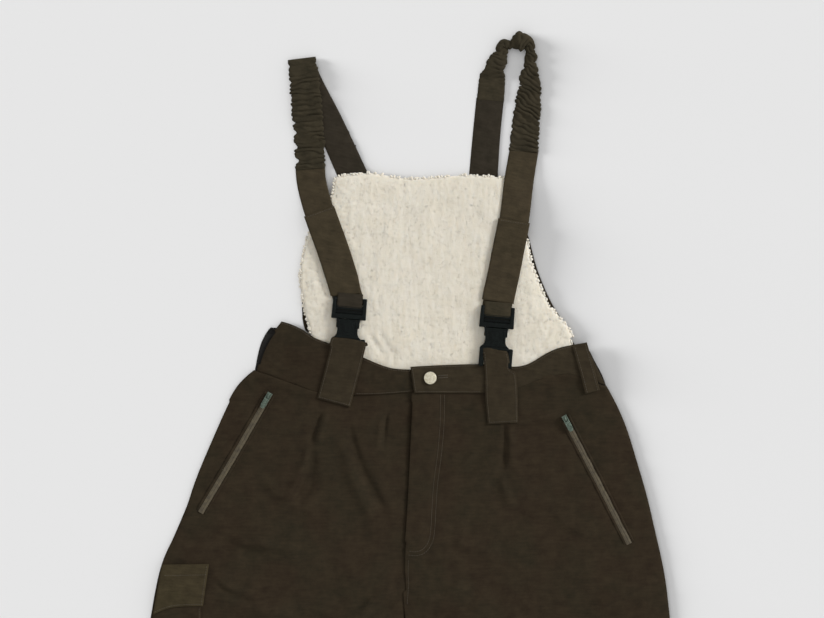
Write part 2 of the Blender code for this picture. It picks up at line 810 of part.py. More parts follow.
def lay_straps(garment):
    """The front run of each brace: elastic, plain strap, and its end turned back on it."""
    rows = 2 * RIGHT_GATHERS
    bump, wave = gathers(rows)
    gap = SEAM / run_length(RIGHT_RUN)
    place = strip(RIGHT_RUN, 0, RIGHT_ELASTIC_SHARE - gap, wave)
    piece = Piece(place, even(4), even(rows))
    under = ("strap_back_right", "bib_back", "bib_lining")
    garment.lay("strap_elastic_right", "strap", piece, ELASTIC_CLOTH, on=under, bump=bump)
    piece = Piece(strip(RIGHT_RUN, RIGHT_ELASTIC_SHARE, 1), even(4), even(18))
    under = ("strap_back_right", "bib_back", "bib_lining")
    garment.lay("strap_front_right", "strap", piece, STRAP_CLOTH, on=under, slack=6)

    rows = 2 * LEFT_GATHERS
    bump, wave = gathers(rows)
    gap = SEAM / run_length(LEFT_RUN)
    place = strip(LEFT_RUN, 0, LEFT_ELASTIC_SHARE - gap, wave)

    def twisted(u, v):
        start, end = ARCH_SHARE
        arch = ease((v - start) / 0.12) * ease((end - v) / 0.12)
        round_top = math.sqrt(max(0, 1 - (1.7 * (u - 0.5)) ** 2))
        return ELASTIC_CLOTH + arch * (ARCH_CLOTH - ELASTIC_CLOTH) * round_top

    piece = Piece(place, even(4), even(rows))
    garment.lay("strap_elastic_left", "strap", piece, twisted, bump=bump)
    piece = Piece(strip(LEFT_RUN, LEFT_ELASTIC_SHARE, 1), even(4), even(18))
    under = ("bib_back", "bib_lining")
    garment.lay("strap_front_left", "strap", piece, STRAP_CLOTH, on=under, slack=6)

    for side, stations, (start, end) in (
        ("right", RIGHT_RUN, RIGHT_FOLD_SHARE),
        ("left", LEFT_RUN, LEFT_FOLD_SHARE),
    ):
        wide = tuple(station._replace(width=FOLD_WIDTH) for station in stations)
        piece = Piece(strip(wide, start, end), even(4), even(10))
        under = ("strap_front_" + side, "bib_lining", "bib_back")
        garment.lay("strap_fold_" + side, "strap", piece, STRAP_CLOTH, on=under, slack=1)


def prism(outline, low, high):
    """A bmesh solid of an outline in millimetres between two heights."""
    shape = bmesh.new()
    face = shape.faces.new([shape.verts.new(Vector((x, y, low)) * MM) for x, y in outline])
    top = bmesh.ops.extrude_face_region(shape, geom=[face])["geom"]
    rise = Vector((0, 0, high - low)) * MM
    bmesh.ops.translate(shape, verts=[v for v in top if isinstance(v, bmesh.types.BMVert)], vec=rise)
    bmesh.ops.recalc_face_normals(shape, faces=shape.faces)
    return shape


def box_outline(left, right, low, high, chamfer=0.0):
    c = chamfer
    if not c:
        return [(left, low), (right, low), (right, high), (left, high)]
    return [
        (left + c, low),
        (right - c, low),
        (right, low + c),
        (right, high - c),
        (right - c, high),
        (left + c, high),
        (left, high - c),
        (left, low + c),
    ]


def mesh_of(shape, name):
    mesh = bpy.data.meshes.new(name)
    shape.to_mesh(mesh)
    shape.free()
    return mesh


def combine(garment, thing, shape, operation):
    """Join another shape to a part or cut it out, with a hidden helper object."""
    label = f"{thing.name}_{operation.lower()}_{len(thing.modifiers)}"
    helper = bpy.data.objects.new(label, mesh_of(shape, label))
    garment.cutters.objects.link(helper)
    helper.parent = thing
    helper.hide_render = True
    helper.display_type = "WIRE"
    modifier = thing.modifiers.new(operation.title(), "BOOLEAN")
    modifier.operation = operation
    modifier.solver = "EXACT"
    modifier.object = helper


def make_buckle(garment, side, x, y):
    """A side-release buckle: the male half's strap frame, and the female half with its bar."""
    half = BUCKLE_WIDTH / 2
    foot = -BUCKLE_BODY_LENGTH - BUCKLE_END_LENGTH
    under = ("strap_front_" + side, "bib_lining")
    tilt = math.radians(BUCKLE_TILT_DEGREES)
    turn = Matrix.Rotation(tilt, 3, "Z")
    spots = []
    for u in even(10):
        for v in even(14):
            local = Vector((mix(-half, half, u), mix(foot, BUCKLE_FRAME_LENGTH, v), 0))
            spots.append(Vector((x, y, 0)) + turn @ local)
    floor = max(garment.top(under, spot.x, spot.y) for spot in spots) + SEAM

    frame = box_outline(-half, half, SEAM, BUCKLE_FRAME_LENGTH, BUCKLE_FRAME_CORNER)
    mesh = mesh_of(prism(frame, 0, BUCKLE_PLATE), "buckle_male_" + side)
    male = garment.add("buckle_male_" + side, mesh, "buckle")
    for low, high in BUCKLE_SLOTS:
        slot = box_outline(BUCKLE_RAIL - half, half - BUCKLE_RAIL, low, high)
        combine(garment, male, prism(slot, -1, BUCKLE_PLATE + 1), "DIFFERENCE")

    body = [(-point.value, point.at) for point in BUCKLE_BODY_HALF_WIDTHS]
    body += [(point.value, point.at) for point in reversed(BUCKLE_BODY_HALF_WIDTHS)]
    mesh = mesh_of(prism(body, 0, BUCKLE_BODY_HEIGHT), "buckle_female_" + side)
    female = garment.add("buckle_female_" + side, mesh, "buckle")
    end = box_outline(-half, half, foot, -BUCKLE_BODY_LENGTH + 1, BUCKLE_END_CORNER)
    combine(garment, female, prism(end, 0.5, BUCKLE_PLATE), "UNION")
    near, far = BUCKLE_END_SLOT
    slot = box_outline(BUCKLE_END_RAIL - half, half - BUCKLE_END_RAIL, foot + near, foot + far)
    combine(garment, female, prism(slot, -1, BUCKLE_PLATE + 1), "DIFFERENCE")
    for thing in (male, female):
        thing.location = (x * MM, y * MM, floor * MM)
        thing.rotation_euler.z = tilt
        garment.remember(thing)


def lay_tabs(garment):
    """Cloth tabs sewn to the waistband, which hold the female half of each buckle."""
    for side, stations in (("right", RIGHT_TAB), ("left", LEFT_TAB)):
        piece = Piece(strip(stations), even(4), even(10))
        under = [
            "bib_lining",
            "leg_front_" + side,
            "waistband_front_" + side,
            "buckle_female_" + side,
        ]
        garment.lay("tab_" + side, "moleskin", piece, STRAP_CLOTH, on=under, slack=2)


def make_button(garment):
    """A turned shank button with a raised rim and a plain middle."""
    x, y = BUTTON_PLACE
    floor = garment.top(("waistband_front_left",), x, y)
    for angle in even(16):
        turn = angle * math.tau
        rim = (x + BUTTON_RADIUS * math.cos(turn), y + BUTTON_RADIUS * math.sin(turn))
        floor = max(floor, garment.top(("waistband_front_left",), *rim))
    shape = bmesh.new()
    points = [
        shape.verts.new((share * BUTTON_RADIUS * MM, 0, (BUTTON_HEIGHT - drop) * MM))
        for share, drop in BUTTON_PROFILE
    ]
    for a, b in zip(points, points[1:]):
        shape.edges.new((a, b))
    button = garment.add("button_waist", mesh_of(shape, "button_waist"), "button")
    turned = button.modifiers.new("Turned", "SCREW")
    turned.steps = 20
    turned.render_steps = 20
    turned.use_merge_vertices = True
    turned.merge_threshold = 0.00005
    button.location = (x * MM, y * MM, (floor + SEAM) * MM)


def make_zip_slider(garment, side, stations):
    """A slider with its crown, and the pull that hinges on a pin under the crown."""
    top, lower = stations[0], stations[1]
    heading = math.atan2(lower.y - top.y, lower.x - top.x) + math.pi / 2
    turn = Matrix.Rotation(heading, 3, "Z")
    middle = Vector((top.x, top.y, 0)) + turn @ Vector((0, -SLIDER_DOWN_TAPE, 0))
    half_long = SLIDER_LENGTH / 2
    half_wide = SLIDER_WIDTH / 2
    under = ("pocket_zip_" + side, "leg_front_" + side, "waistband_front_" + side)
    floor = 0
    for u in even(6):
        for v in even(6):
            local = Vector((mix(-half_wide, half_wide, u), mix(-half_long, half_long, v), 0))
            spot = middle + turn @ local
            floor = max(floor, garment.top(under, spot.x, spot.y))
    floor += SEAM

    end = SLIDER_END_WIDTH / 2
    outline = [(-end, -half_long), (end, -half_long), (half_wide, 0), (half_wide, half_long - 1)]
    outline += [(end, half_long), (-end, half_long), (-half_wide, half_long - 1), (-half_wide, 0)]
    name = "zip_slider_" + side
    slider = garment.add(name, mesh_of(prism(outline, 0, SLIDER_HEIGHT), name), "metal")
    reach = CROWN_HALF_LENGTH
    arch = [(-reach, -CROWN_ROOT), (-reach, CROWN_HEIGHT), (reach, CROWN_HEIGHT), (reach, -CROWN_ROOT)]
    reach -= CROWN_WIRE
    ceiling = CROWN_HEIGHT - CROWN_WIRE
    arch += [(reach, -CROWN_ROOT), (reach, ceiling), (-reach, ceiling), (-reach, -CROWN_ROOT)]
    crown = prism(arch, -CROWN_HALF_WIDTH, CROWN_HALF_WIDTH)
    upright = Matrix(((0, 0, 1, 0), (1, 0, 0, 0), (0, 1, 0, SLIDER_HEIGHT * MM), (0, 0, 0, 1)))
    bmesh.ops.transform(crown, matrix=upright, verts=crown.verts)
    combine(garment, slider, crown, "UNION")
    slider.location = Vector((middle.x, middle.y, floor)) * MM
    slider.rotation_euler.z = heading

    half = PULL_WIDTH / 2
    tip = PULL_TIP_WIDTH / 2
    head = PULL_EYE_WALL / 2
    outline = [(-half, head), (half, head), (half, -PULL_SHOULDER), (tip, -PULL_LENGTH)]
    outline += [(-tip, -PULL_LENGTH), (-half, -PULL_SHOULDER)]
    name = "zip_pull_" + side
    plate = prism(outline, -PULL_PLATE / 2, PULL_PLATE / 2)
    pull = garment.add(name, mesh_of(plate, name), "metal")
    eye = PULL_EYE_WIDTH / 2
    window = box_outline(-eye, eye, -head - PULL_EYE_LENGTH, -head)
    combine(garment, pull, prism(window, -1, 1), "DIFFERENCE")
    pin = Vector((middle.x, middle.y, floor + SLIDER_HEIGHT + PULL_PIN_HEIGHT))
    pull.location = pin * MM
    pull.rotation_euler = (math.radians(PULL_DROOP_DEGREES), 0, heading)


def main():
    clear_scene()
    garment = Garment("hunting_trousers")
    lay_backs(garment)
    lay_back_straps(garment)
    lay_lining(garment)
    lay_fronts(garment)
    lay_pockets(garment)
    lay_straps(garment)
    make_buckle(garment, "right", *RIGHT_BUCKLE_PLACE)
    make_buckle(garment, "left", *LEFT_BUCKLE_PLACE)
    lay_tabs(garment)
    make_button(garment)
    make_zip_slider(garment, "right", RIGHT_ZIP)
    make_zip_slider(garment, "left", LEFT_ZIP)


main()
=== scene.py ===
# %% [markdown]
# Hunting trousers with a high back bib, laid flat on their back.
# The garment is brown moleskin, a heavy cotton with a short nap. A cream pile lining shows inside
# the bib. The braces are gathered on elastic and end in black side-release buckles, and two
# slanted pockets close with zips. The solid model already gives every outline and height, so
# each piece of cloth here starts as a copy of its solid and is shaped further from there.

# %% Load the frame
import json
import math
import random
from contextlib import contextmanager

import bpy
import numpy as np
from mathutils import Matrix, Vector, noise
from mathutils.bvhtree import BVHTree
from mathutils.kdtree import KDTree


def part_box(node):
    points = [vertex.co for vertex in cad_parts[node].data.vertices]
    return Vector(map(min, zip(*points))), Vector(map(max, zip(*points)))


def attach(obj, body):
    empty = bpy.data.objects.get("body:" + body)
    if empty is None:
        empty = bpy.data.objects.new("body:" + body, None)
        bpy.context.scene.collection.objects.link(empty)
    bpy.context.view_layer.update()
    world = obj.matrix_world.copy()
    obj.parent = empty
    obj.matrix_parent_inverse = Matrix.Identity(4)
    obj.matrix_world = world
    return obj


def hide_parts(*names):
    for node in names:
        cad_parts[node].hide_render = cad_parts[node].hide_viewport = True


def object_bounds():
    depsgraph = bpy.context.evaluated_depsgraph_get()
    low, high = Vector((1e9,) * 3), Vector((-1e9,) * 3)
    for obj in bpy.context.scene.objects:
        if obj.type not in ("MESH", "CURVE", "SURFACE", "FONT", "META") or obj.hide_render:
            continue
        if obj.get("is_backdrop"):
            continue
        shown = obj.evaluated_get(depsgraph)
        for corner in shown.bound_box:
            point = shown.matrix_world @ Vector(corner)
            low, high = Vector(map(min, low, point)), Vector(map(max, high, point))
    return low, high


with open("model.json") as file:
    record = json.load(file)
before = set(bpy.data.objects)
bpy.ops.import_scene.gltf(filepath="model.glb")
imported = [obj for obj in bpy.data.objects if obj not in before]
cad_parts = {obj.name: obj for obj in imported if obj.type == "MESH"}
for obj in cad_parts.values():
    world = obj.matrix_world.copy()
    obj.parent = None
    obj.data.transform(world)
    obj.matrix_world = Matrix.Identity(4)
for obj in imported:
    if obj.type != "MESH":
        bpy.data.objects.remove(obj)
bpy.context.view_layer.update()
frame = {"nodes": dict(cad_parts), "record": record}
MM = 0.001
dice = random.Random(7)

# %% [markdown]
# Colours are written as the hex values that a colour picker shows, and one function turns them to
# linear light. A few more functions add a node with its settings and links and hand back what comes
# out of it, so that every material below reads as a short recipe.


# %% Colours and nodes
def linear(hex_colour):
    shares = [int(hex_colour[i : i + 2], 16) / 255 for i in (1, 3, 5)]
    return [s / 12.92 if s <= 0.04045 else ((s + 0.055) / 1.055) ** 2.4 for s in shares] + [1.0]


def add_node(tree, kind, settings=None, links=None, out=0):
    """Add a node, set its properties or sockets by name, link its sockets, and return an output."""
    made = tree.nodes.new("ShaderNode" + kind)
    for key, value in (settings or {}).items():
        if isinstance(key, str) and hasattr(made, key):
            setattr(made, key, value)
        else:
            made.inputs[key].default_value = value
    for key, socket in (links or {}).items():
        tree.links.new(socket, made.inputs[key])
    return made.outputs[out]


def new_material(name, settings):
    """A material, its node tree, its shader, and a socket that gives places on the object."""
    material = bpy.data.materials.new(name)
    material.use_nodes = True
    tree = material.node_tree
    shader = tree.nodes["Principled BSDF"]
    for key, value in settings.items():
        shader.inputs[key].default_value = value
    return material, tree, shader, add_node(tree, "TexCoord", out="Object")


def mapped(tree, place, **settings):
    return add_node(tree, "Mapping", settings, {"Vector": place})


def cloudy(tree, place, scale, detail, rough=0.5):
    settings = {"Scale": scale, "Detail": detail, "Roughness": rough}
    return add_node(tree, "TexNoise", settings, {"Vector": place})


def weighed(tree, first, share, second):
    """The first value times a share, plus the second."""
    return add_node(tree, "Math", {"operation": "MULTIPLY_ADD", 1: share}, {0: first, 2: second})


def two_tones(tree, factor, low, high, start, end):
    """A colour that runs from one hex value to another as the factor passes a range."""
    ramp = add_node(tree, "ValToRGB", {}, {"Fac": factor})
    for element, place, colour in zip(ramp.node.color_ramp.elements, (start, end), (low, high)):
        element.position = place
        element.color = linear(colour)
    return ramp


def dress(tree, shader, colour, height, strength, distance):
    """Give a shader its colour, and its fine relief as a bump of a depth in metres."""
    bump = add_node(tree, "Bump", {"Strength": strength, "Distance": distance}, {"Height": height})
    tree.links.new(colour, shader.inputs["Base Color"])
    tree.links.new(bump, shader.inputs["Normal"])


# %% [markdown]
# Moleskin is a heavy cotton satin that is raised and sheared, so it has a short dense nap and no
# visible weave from a step away. The nap scatters light at grazing angles, which sheen gives. It
# also lies differently from place to place: warm brown areas, olive ones and worn, lighter ones
# run into each other, and fine streaks follow the grain. The nap itself is about 0.4 mm, and is
# drawn three times as coarse so that it shows. Scales are in features a metre: the dye's cast
# changes over about 70 mm, and wear over about 12 mm.

# %% Moleskin
STREAKS = (60.0, 380.0, 100.0)


def moleskin(name, warm, olive, worn, turn=0.0):
    settings = {
        "Roughness": 0.92,
        "Specular IOR Level": 0.12,
        "Sheen Weight": 0.06,
        "Sheen Roughness": 0.5,
        "Sheen Tint": linear("#8a8064"),
    }
    material, tree, shader, place = new_material(name, settings)
    turned = mapped(tree, place, Rotation=(0, 0, turn))
    cast = cloudy(tree, turned, 15.0, 4.0)
    wear = cloudy(tree, turned, 80.0, 4.0, 0.6)
    streaks = cloudy(tree, mapped(tree, turned, Scale=STREAKS), 1.0, 3.0)
    nap = cloudy(tree, turned, 820.0, 2.0)
    fuzz = weighed(tree, nap, 0.35, weighed(tree, streaks, 0.55, wear))
    share = add_node(tree, "MapRange", {"From Min": 0.6, "From Max": 1.4}, {"Value": fuzz})
    ground = two_tones(tree, cast, warm, olive, 0.42, 0.6)
    mix = {"data_type": "RGBA", 7: linear(worn)}
    colour = add_node(tree, "Mix", mix, {0: share, 6: ground}, out=2)
    dress(tree, shader, colour, fuzz, 0.5, 0.0005)
    return material


leg_cloth = moleskin("moleskin_legs", "#261d14", "#231f15", "#372e21")
band_cloth = moleskin("moleskin_band", "#2a2319", "#292319", "#3d3527", turn=0.1)
strap_cloth = moleskin("moleskin_straps", "#322b20", "#302a1e", "#483f2f", turn=0.2)
# The next two also colour the strap turns at the buckles, where their darker tone is painted shade
gathered_and_turn_shade_cloth = moleskin("moleskin_gathered_and_turn_shade", "#2a261c", "#28251b", "#423b2d", turn=0.3)
back_strap_and_turn_shade_cloth = moleskin("moleskin_back_straps_and_turn_shade", "#27221a", "#252119", "#39332a", turn=0.25)
flap_cloth = moleskin("moleskin_flap", "#2f281b", "#2e281a", "#453d2b", turn=0.1)
# A near-black cloth for the back of the waistband, much darker than the other moleskins
near_black_band_cloth = moleskin("near_black_back_band", "#1c1a18", "#1c1c1a", "#2a2827", turn=0.1)

# %% [markdown]
# The pile lining is knitted polyester that is brushed into a dense curl, as sherpa is. Each curl
# shades its neighbours, so the hollows read warmer and darker than the tips, and light goes a
# little way in. The streaks are where the pile was combed, from the top of the bib down.


# %% Pile and other fabrics
def sherpa():
    settings = {
        "Roughness": 1.0,
        "Specular IOR Level": 0.05,
        "Sheen Weight": 0.4,
        "Sheen Roughness": 0.6,
        "Subsurface Weight": 0.5,
        "Subsurface Radius": (0.004, 0.0035, 0.003),
        "Subsurface Scale": 1.0,
    }
    material, tree, shader, place = new_material("sherpa_pile", settings)
    streaks = cloudy(tree, mapped(tree, place, Scale=(260.0, 55.0, 200.0)), 1.0, 4.0)
    both = weighed(tree, cloudy(tree, place, 22.0, 3.0), 0.6, streaks)
    colour = two_tones(tree, both, "#dfd6c4", "#e5ddce", 0.6, 1.0)
    dress(tree, shader, colour, cloudy(tree, place, 520.0, 3.0), 0.3, 0.0006)
    return material


def woven(name, dark, light, turn):
    """A narrow twill of polyester, with a thread about every 0.4 mm."""
    material, tree, shader, place = new_material(name, {"Roughness": 0.75, "Sheen Weight": 0.15})
    wave = {"bands_direction": "DIAGONAL", "Scale": 420.0, "Distortion": 1.0}
    turned = mapped(tree, place, Rotation=(0, 0, turn))
    threads = add_node(tree, "TexWave", wave, {"Vector": turned}, out="Fac")
    both = weighed(tree, threads, 0.3, cloudy(tree, place, 180.0, 4.0))
    dress(tree, shader, two_tones(tree, both, dark, light, 0.4, 0.9), both, 0.4, 0.0002)
    return material


pile = sherpa()
tapes = {
    "right": woven("polyester_tape_right", "#3c3426", "#5a503a", 1.05),
    "left": woven("polyester_tape_left", "#3c3426", "#5a503a", -1.1),
}
thread = woven("core_spun_thread", "#362e20", "#4b4130", 0.0)

# %% [markdown]
# The hardware is moulded acetal, which is black with a soft gloss and faint flow marks, die-cast
# zinc under a grey-green lacquer that has rubbed thin, and a button of pale nickel plate.


# %% Hard finishes
def hard_finish(name, dark, light, grain, gloss, **more):
    """A hard surface whose tone and gloss vary over a grain given in metres."""
    settings = {key.replace("_", " "): value for key, value in more.items()}
    material, tree, shader, place = new_material(name, settings)
    marks = cloudy(tree, place, 1 / grain, 5.0, 0.6)
    spread = {"To Min": gloss - 0.08, "To Max": gloss + 0.12}
    rough = add_node(tree, "MapRange", spread, {"Value": marks})
    tree.links.new(rough, shader.inputs["Roughness"])
    dress(tree, shader, two_tones(tree, marks, dark, light, 0.38, 0.68), marks, 0.15, 0.0002)
    return material


acetal = hard_finish("moulded_acetal", "#060a09", "#0e1412", 0.004, 0.28, Specular_IOR_Level=0.14)
zinc = hard_finish("lacquered_zinc", "#4f5a50", "#7c8a7e", 0.0015, 0.42, Metallic=0.85)
nickel = hard_finish("pale_nickel", "#cfc6a8", "#efe9d6", 0.002, 0.36, Metallic=0.8)

# %% [markdown]
# The next helpers are used for every piece of cloth. Operators act on all that is selected, so one
# of them makes a single object the only selected one. Finished pieces are kept as search trees,
# so that what lies on them, down to each stitch, can be set at the right height.


# %% Helpers for shaping
def only(thing):
    """Make one object the only selected one."""
    bpy.ops.object.select_all(action="DESELECT")
    thing.select_set(True)
    bpy.context.view_layer.objects.active = thing


@contextmanager
def editing(thing, kind="VERT", select="SELECT"):
    """Work on one mesh in edit mode, with everything selected or as the caller left it."""
    only(thing)
    bpy.ops.object.mode_set(mode="EDIT")
    bpy.ops.mesh.select_mode(type=kind)
    if select:
        bpy.ops.mesh.select_all(action=select)
    yield
    bpy.ops.object.mode_set(mode="OBJECT")


def smooth_below(thing, degrees):
    """Shade a piece smoothly, apart from edges sharper than an angle."""
    only(thing)
    bpy.ops.object.shade_smooth_by_angle(angle=math.radians(degrees))


def mesh_object(name, points, faces):
    """A mesh with its faces turned outwards, from points in mm."""
    mesh = bpy.data.meshes.new(name)
    mesh.from_pydata((np.array(points) * MM).tolist(), [], faces)
    mesh.update()
    thing = bpy.data.objects.new(name, mesh)
    bpy.context.scene.collection.objects.link(thing)
    with editing(thing):
        bpy.ops.mesh.normals_make_consistent(inside=False)
    return thing


def apply_modifier(thing, kind, **settings):
    only(thing)
    modifier = thing.modifiers.new(kind.title(), kind)
    for key, value in settings.items():
        setattr(modifier, key, value)
    bpy.ops.object.modifier_apply(modifier=modifier.name)


def read_points(thing):
    points = np.empty(len(thing.data.vertices) * 3)
    thing.data.vertices.foreach_get("co", points)
    return points.reshape(-1, 3)


def write_points(thing, points):
    thing.data.vertices.foreach_set("co", points.ravel())
    thing.data.update()


trees = {}
rims = {}
DOWN = Vector((0, 0, -1))
UP = Vector((0, 0, 1))


def remember(thing):
    """Keep a piece's surface, so that other pieces can lie on it."""
    mesh = thing.data
    corners = [vertex.co.copy() for vertex in mesh.vertices]
    trees[thing.name] = BVHTree.FromPolygons(corners, [tuple(face.vertices) for face in mesh.polygons])


def meet(name, x, y, start=0.2, way=DOWN):
    """Height in mm where a vertical ray meets a piece or solid, or None beside it."""
    if name not in trees:
        remember(frame["nodes"][name])
    hit = trees[name].ray_cast(Vector((x * MM, y * MM, start)), way)[0]
    return None if hit is None else hit.z / MM


def height(names, x, y):
    """Height in mm of the top of the named pieces at a place in mm, or None beside them."""
    found = [z for z in (meet(name, x, y) for name in names) if z is not None]
    return max(found) if found else None


def finish(thing, look, nodes=(), body="root", cut=None, area=None):
    """Give a piece its look, hang it from the body it rides on, and hide the solids it stands for.

    Cut is the width and length in mm that a sheet was cut to before it was laid on other pieces."""
    thing.data.materials.clear()
    thing.data.materials.append(look)
    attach(thing, body)
    if nodes:
        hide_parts(*nodes)
    if cut:
        flat = (cut[0] * MM, cut[1] * MM)
        area = min(area or thing["flat_area"], flat[0] * flat[1])


def step_up(share):
    """A smooth step from 0 to 1."""
    share = np.clip(share, 0, 1)
    return share * share * (3 - 2 * share)


def clouds(points, size, seed):
    """Soft noise from -1 to 1 at points in mm, with features of the given size in mm."""
    size = np.broadcast_to(np.array(size, dtype=float), (3,))
    at = points / size
    return np.array([noise.noise(Vector((p[0] + seed, p[1] - seed, p[2] + seed))) for p in at])


def floor_plan(x, y):
    """Points on the floor, so that noise over them depends on the place alone."""
    return np.column_stack([x, y, np.zeros_like(x)])


def noise_grid(rows, columns, place):
    """Noise over a grid, at the place in noise space that a function gives for row and column."""
    return np.array([[noise.noise(Vector(place(s, t))) for t in columns] for s in rows])


# %% [markdown]
# A piece of cloth is a thin shell on its solid's form. The upper face of the solid is kept, its
# doubles are merged, and it is subdivided until folds of a few millimetres can be shaped in it.
# Then it gets its creases, edges that turn down, pressed lines where it is sewn, and a wall.


# %% Cloth from a solid
MERGE_WITHIN = 0.02
FACES_UP = 0.05
ANY_ANGLE = 3.14


def upper_face(node, name, levels):
    """Copy a node, keep the faces that look up, and refine them into a smooth open sheet."""
    thing = bpy.data.objects.new(name, frame["nodes"][node].data.copy())
    bpy.context.scene.collection.objects.link(thing)
    with editing(thing, "FACE"):
        bpy.ops.mesh.remove_doubles(threshold=MERGE_WITHIN * MM)
        bpy.ops.mesh.select_all(action="DESELECT")
    for face in thing.data.polygons:
        face.select = face.normal.z < FACES_UP
    with editing(thing, "FACE", None):
        bpy.ops.mesh.delete(type="FACE")
        bpy.ops.mesh.select_all(action="SELECT")
        bpy.ops.mesh.tris_convert_to_quads(face_threshold=ANY_ANGLE, shape_threshold=ANY_ANGLE)
    smoothing = {"levels": levels, "render_levels": levels, "boundary_smooth": "PRESERVE_CORNERS"}
    apply_modifier(thing, "SUBSURF", **smoothing)
    return thing


def outline(thing):
    """The ordered rim of an open sheet, as point numbers."""
    uses = {}
    for face in thing.data.polygons:
        for key in face.edge_keys:
            uses[key] = uses.get(key, 0) + 1
    next_to = {}
    for (a, b), count in uses.items():
        if count == 1:
            next_to.setdefault(a, []).append(b)
            next_to.setdefault(b, []).append(a)
    loop = [min(next_to)]
    before = None
    while len(loop) <= len(next_to):
        onward = next(i for i in next_to[loop[-1]] if i != before)
        before = loop[-1]
        if onward == loop[0]:
            break
        loop.append(onward)
    return loop


def search_tree(places):
    """A tree that finds the nearest of some places, seen from above."""
    tree = KDTree(len(places))
    for i, place in enumerate(places):
        tree.insert(Vector((place[0], place[1], 0)), i)
    tree.balance()
    return tree


def nearness(places, points):
    """Distance in mm from each point to the nearest of some places, seen from above."""
    tree = search_tree(places)
    return np.array([tree.find(Vector((p[0], p[1], 0)))[2] for p in points])


def crease(x, y, row):
    """Height in mm of one soft ridge or trough, bowed, uneven, and steeper on one side."""
    x0, y0, x1, y1, bow, width, tall, steep = row
    dx, dy = x1 - x0, y1 - y0
    length = math.hypot(dx, dy)
    along = ((x - x0) * dx + (y - y0) * dy) / length**2
    across = ((x - x0) * dy - (y - y0) * dx) / length - bow * 4 * along * (1 - along)
    fade = step_up(along * 3.5 + 0.1) * step_up((1 - along) * 3 + 0.1)
    uneven = 0.85 + 0.15 * np.sin(along * 9 + x0)
    spread = width * (0.75 + 0.6 * np.clip(along, 0, 1)) * np.where(across > 0, 1, 1 - steep)
    return tall * fade * uneven * np.exp(-((across / spread) ** 2))


def rounded(share):
    """A quarter circle: steep where it leaves 0 and level where it reaches 1."""
    return np.sqrt(1 - (1 - np.clip(share, 0, 1)) ** 2)


EASE = 7


def grown(points, loop, places, amount):
    """Move the rim out by an amount times places(x, y), and ease that out inwards."""
    ring = points[loop, :2]
    run = np.roll(ring, -1, axis=0) - np.roll(ring, 1, axis=0)
    out = np.column_stack([run[:, 1], -run[:, 0]])
    out /= np.maximum(np.hypot(*out.T), 1e-9)[:, None]
    out *= math.copysign(1, np.cross(ring, np.roll(ring, -1, axis=0)).sum())
    tree = search_tree(ring)
    for point in points:
        index, gap = tree.find(Vector((point[0], point[1], 0)))[1:]
        if gap < EASE:
            point[:2] += out[index] * amount * places(*ring[index]) * step_up(1 - gap / EASE)


BACK_CLOTH_TOP = 2.5
GAP = 0.05


def cloth(node, name, levels=3, creases=(), pressed=(), wall=1.4, low_side=None, soft=0.4, extra=None,
          on=(), rim=0.5, turn=2.2, grow=(), raised=(), slant=None):
    """Shape a cloth piece from its solid's upper face, and give it its wall. All sizes are in mm.

    Soft is how uneven it lies. Rim is how far its edge turns down over a width of turn. Pressed
    rows are line, width and depth. Grow rows move the rim out, and raised rows lift what lies
    near a stretch of it. Slant and extra are functions that shift and lift any place."""
    thing = upper_face(node, name, levels)
    points = read_points(thing) / MM
    loop = outline(thing)
    for places, amount in grow:
        grown(points, loop, places, amount)
    if slant:
        points[:, :2] += np.column_stack(slant(points[:, 0], points[:, 1]))
    x, y = points[:, 0], points[:, 1]
    near = nearness(points[loop], points)
    inside = step_up(near / 10)
    rise = soft * (0.9 * clouds(points, 70, 3.1) + 0.4 * clouds(points, 24, 7.7)) * inside
    rise += 0.2 * soft * clouds(points, (42, 6, 20), 5.3) * step_up(near / 5)
    for row in creases:
        rise += crease(x, y, row) * inside
    for line, width, depth in pressed:
        pucker = 1 + 0.35 * np.sin(x * 0.9 + y * 0.7) + 0.3 * clouds(points, 7, 2.2)
        rise -= depth * pucker * np.exp(-((nearness(line, points) / width) ** 2))
    for places, amount, width in raised:
        edge = [points[i] for i in loop if places(x[i], y[i])]
        rise += amount * step_up(1 - nearness(edge, points) / width)
    if extra:
        rise += extra(x, y) * step_up(near / 2)
    points[:, 2] += rise - rim * (1 - rounded(near / turn))
    if on:
        under = [height(on, a, b) for a, b in zip(x, y)]
        least = np.array([-1 if z is None else z + wall + 0.12 for z in under])
        points[:, 2] = np.maximum(points[:, 2], least)
    if low_side:
        rim_points = [i for i in loop if low_side(x[i], y[i])]
        share = rounded(nearness(points[rim_points], points) / 4.5)
        floor = BACK_CLOTH_TOP + wall + GAP
        points[:, 2] = np.maximum(floor, floor + (points[:, 2] - floor) * share)
    write_points(thing, points * MM)
    rims[name] = points[loop]
    thing["flat_area"] = sum(face.area for face in thing.data.polygons)
    apply_modifier(thing, "SOLIDIFY", thickness=wall * MM, offset=-1.0)
    points = read_points(thing)
    points[:, 2] = np.maximum(points[:, 2], GAP * MM)
    write_points(thing, points)
    smooth_below(thing, 50)
    remember(thing)
    return thing


# %% [markdown]
# Stitches are small humps of thread that dip into the cloth at both ends. Each is a short tube of
# five sides, and all of those along the seams are joined into one mesh. Lines of stitches follow
# the rim of a piece at a set distance, as a machine's foot guides them.


# %% Sewing
def lengths_along(line):
    """How far along a line each of its points lies."""
    return np.concatenate([[0], np.cumsum(np.hypot(*np.diff(line, axis=0).T))])


def resample(line, step):
    """Even points along a line, in mm."""
    line = np.array(line, dtype=float)[:, :2]
    ends = lengths_along(line)
    at = np.linspace(0, ends[-1], max(2, int(round(ends[-1] / step)) + 1))
    return np.column_stack([np.interp(at, ends, line[:, k]) for k in (0, 1)])


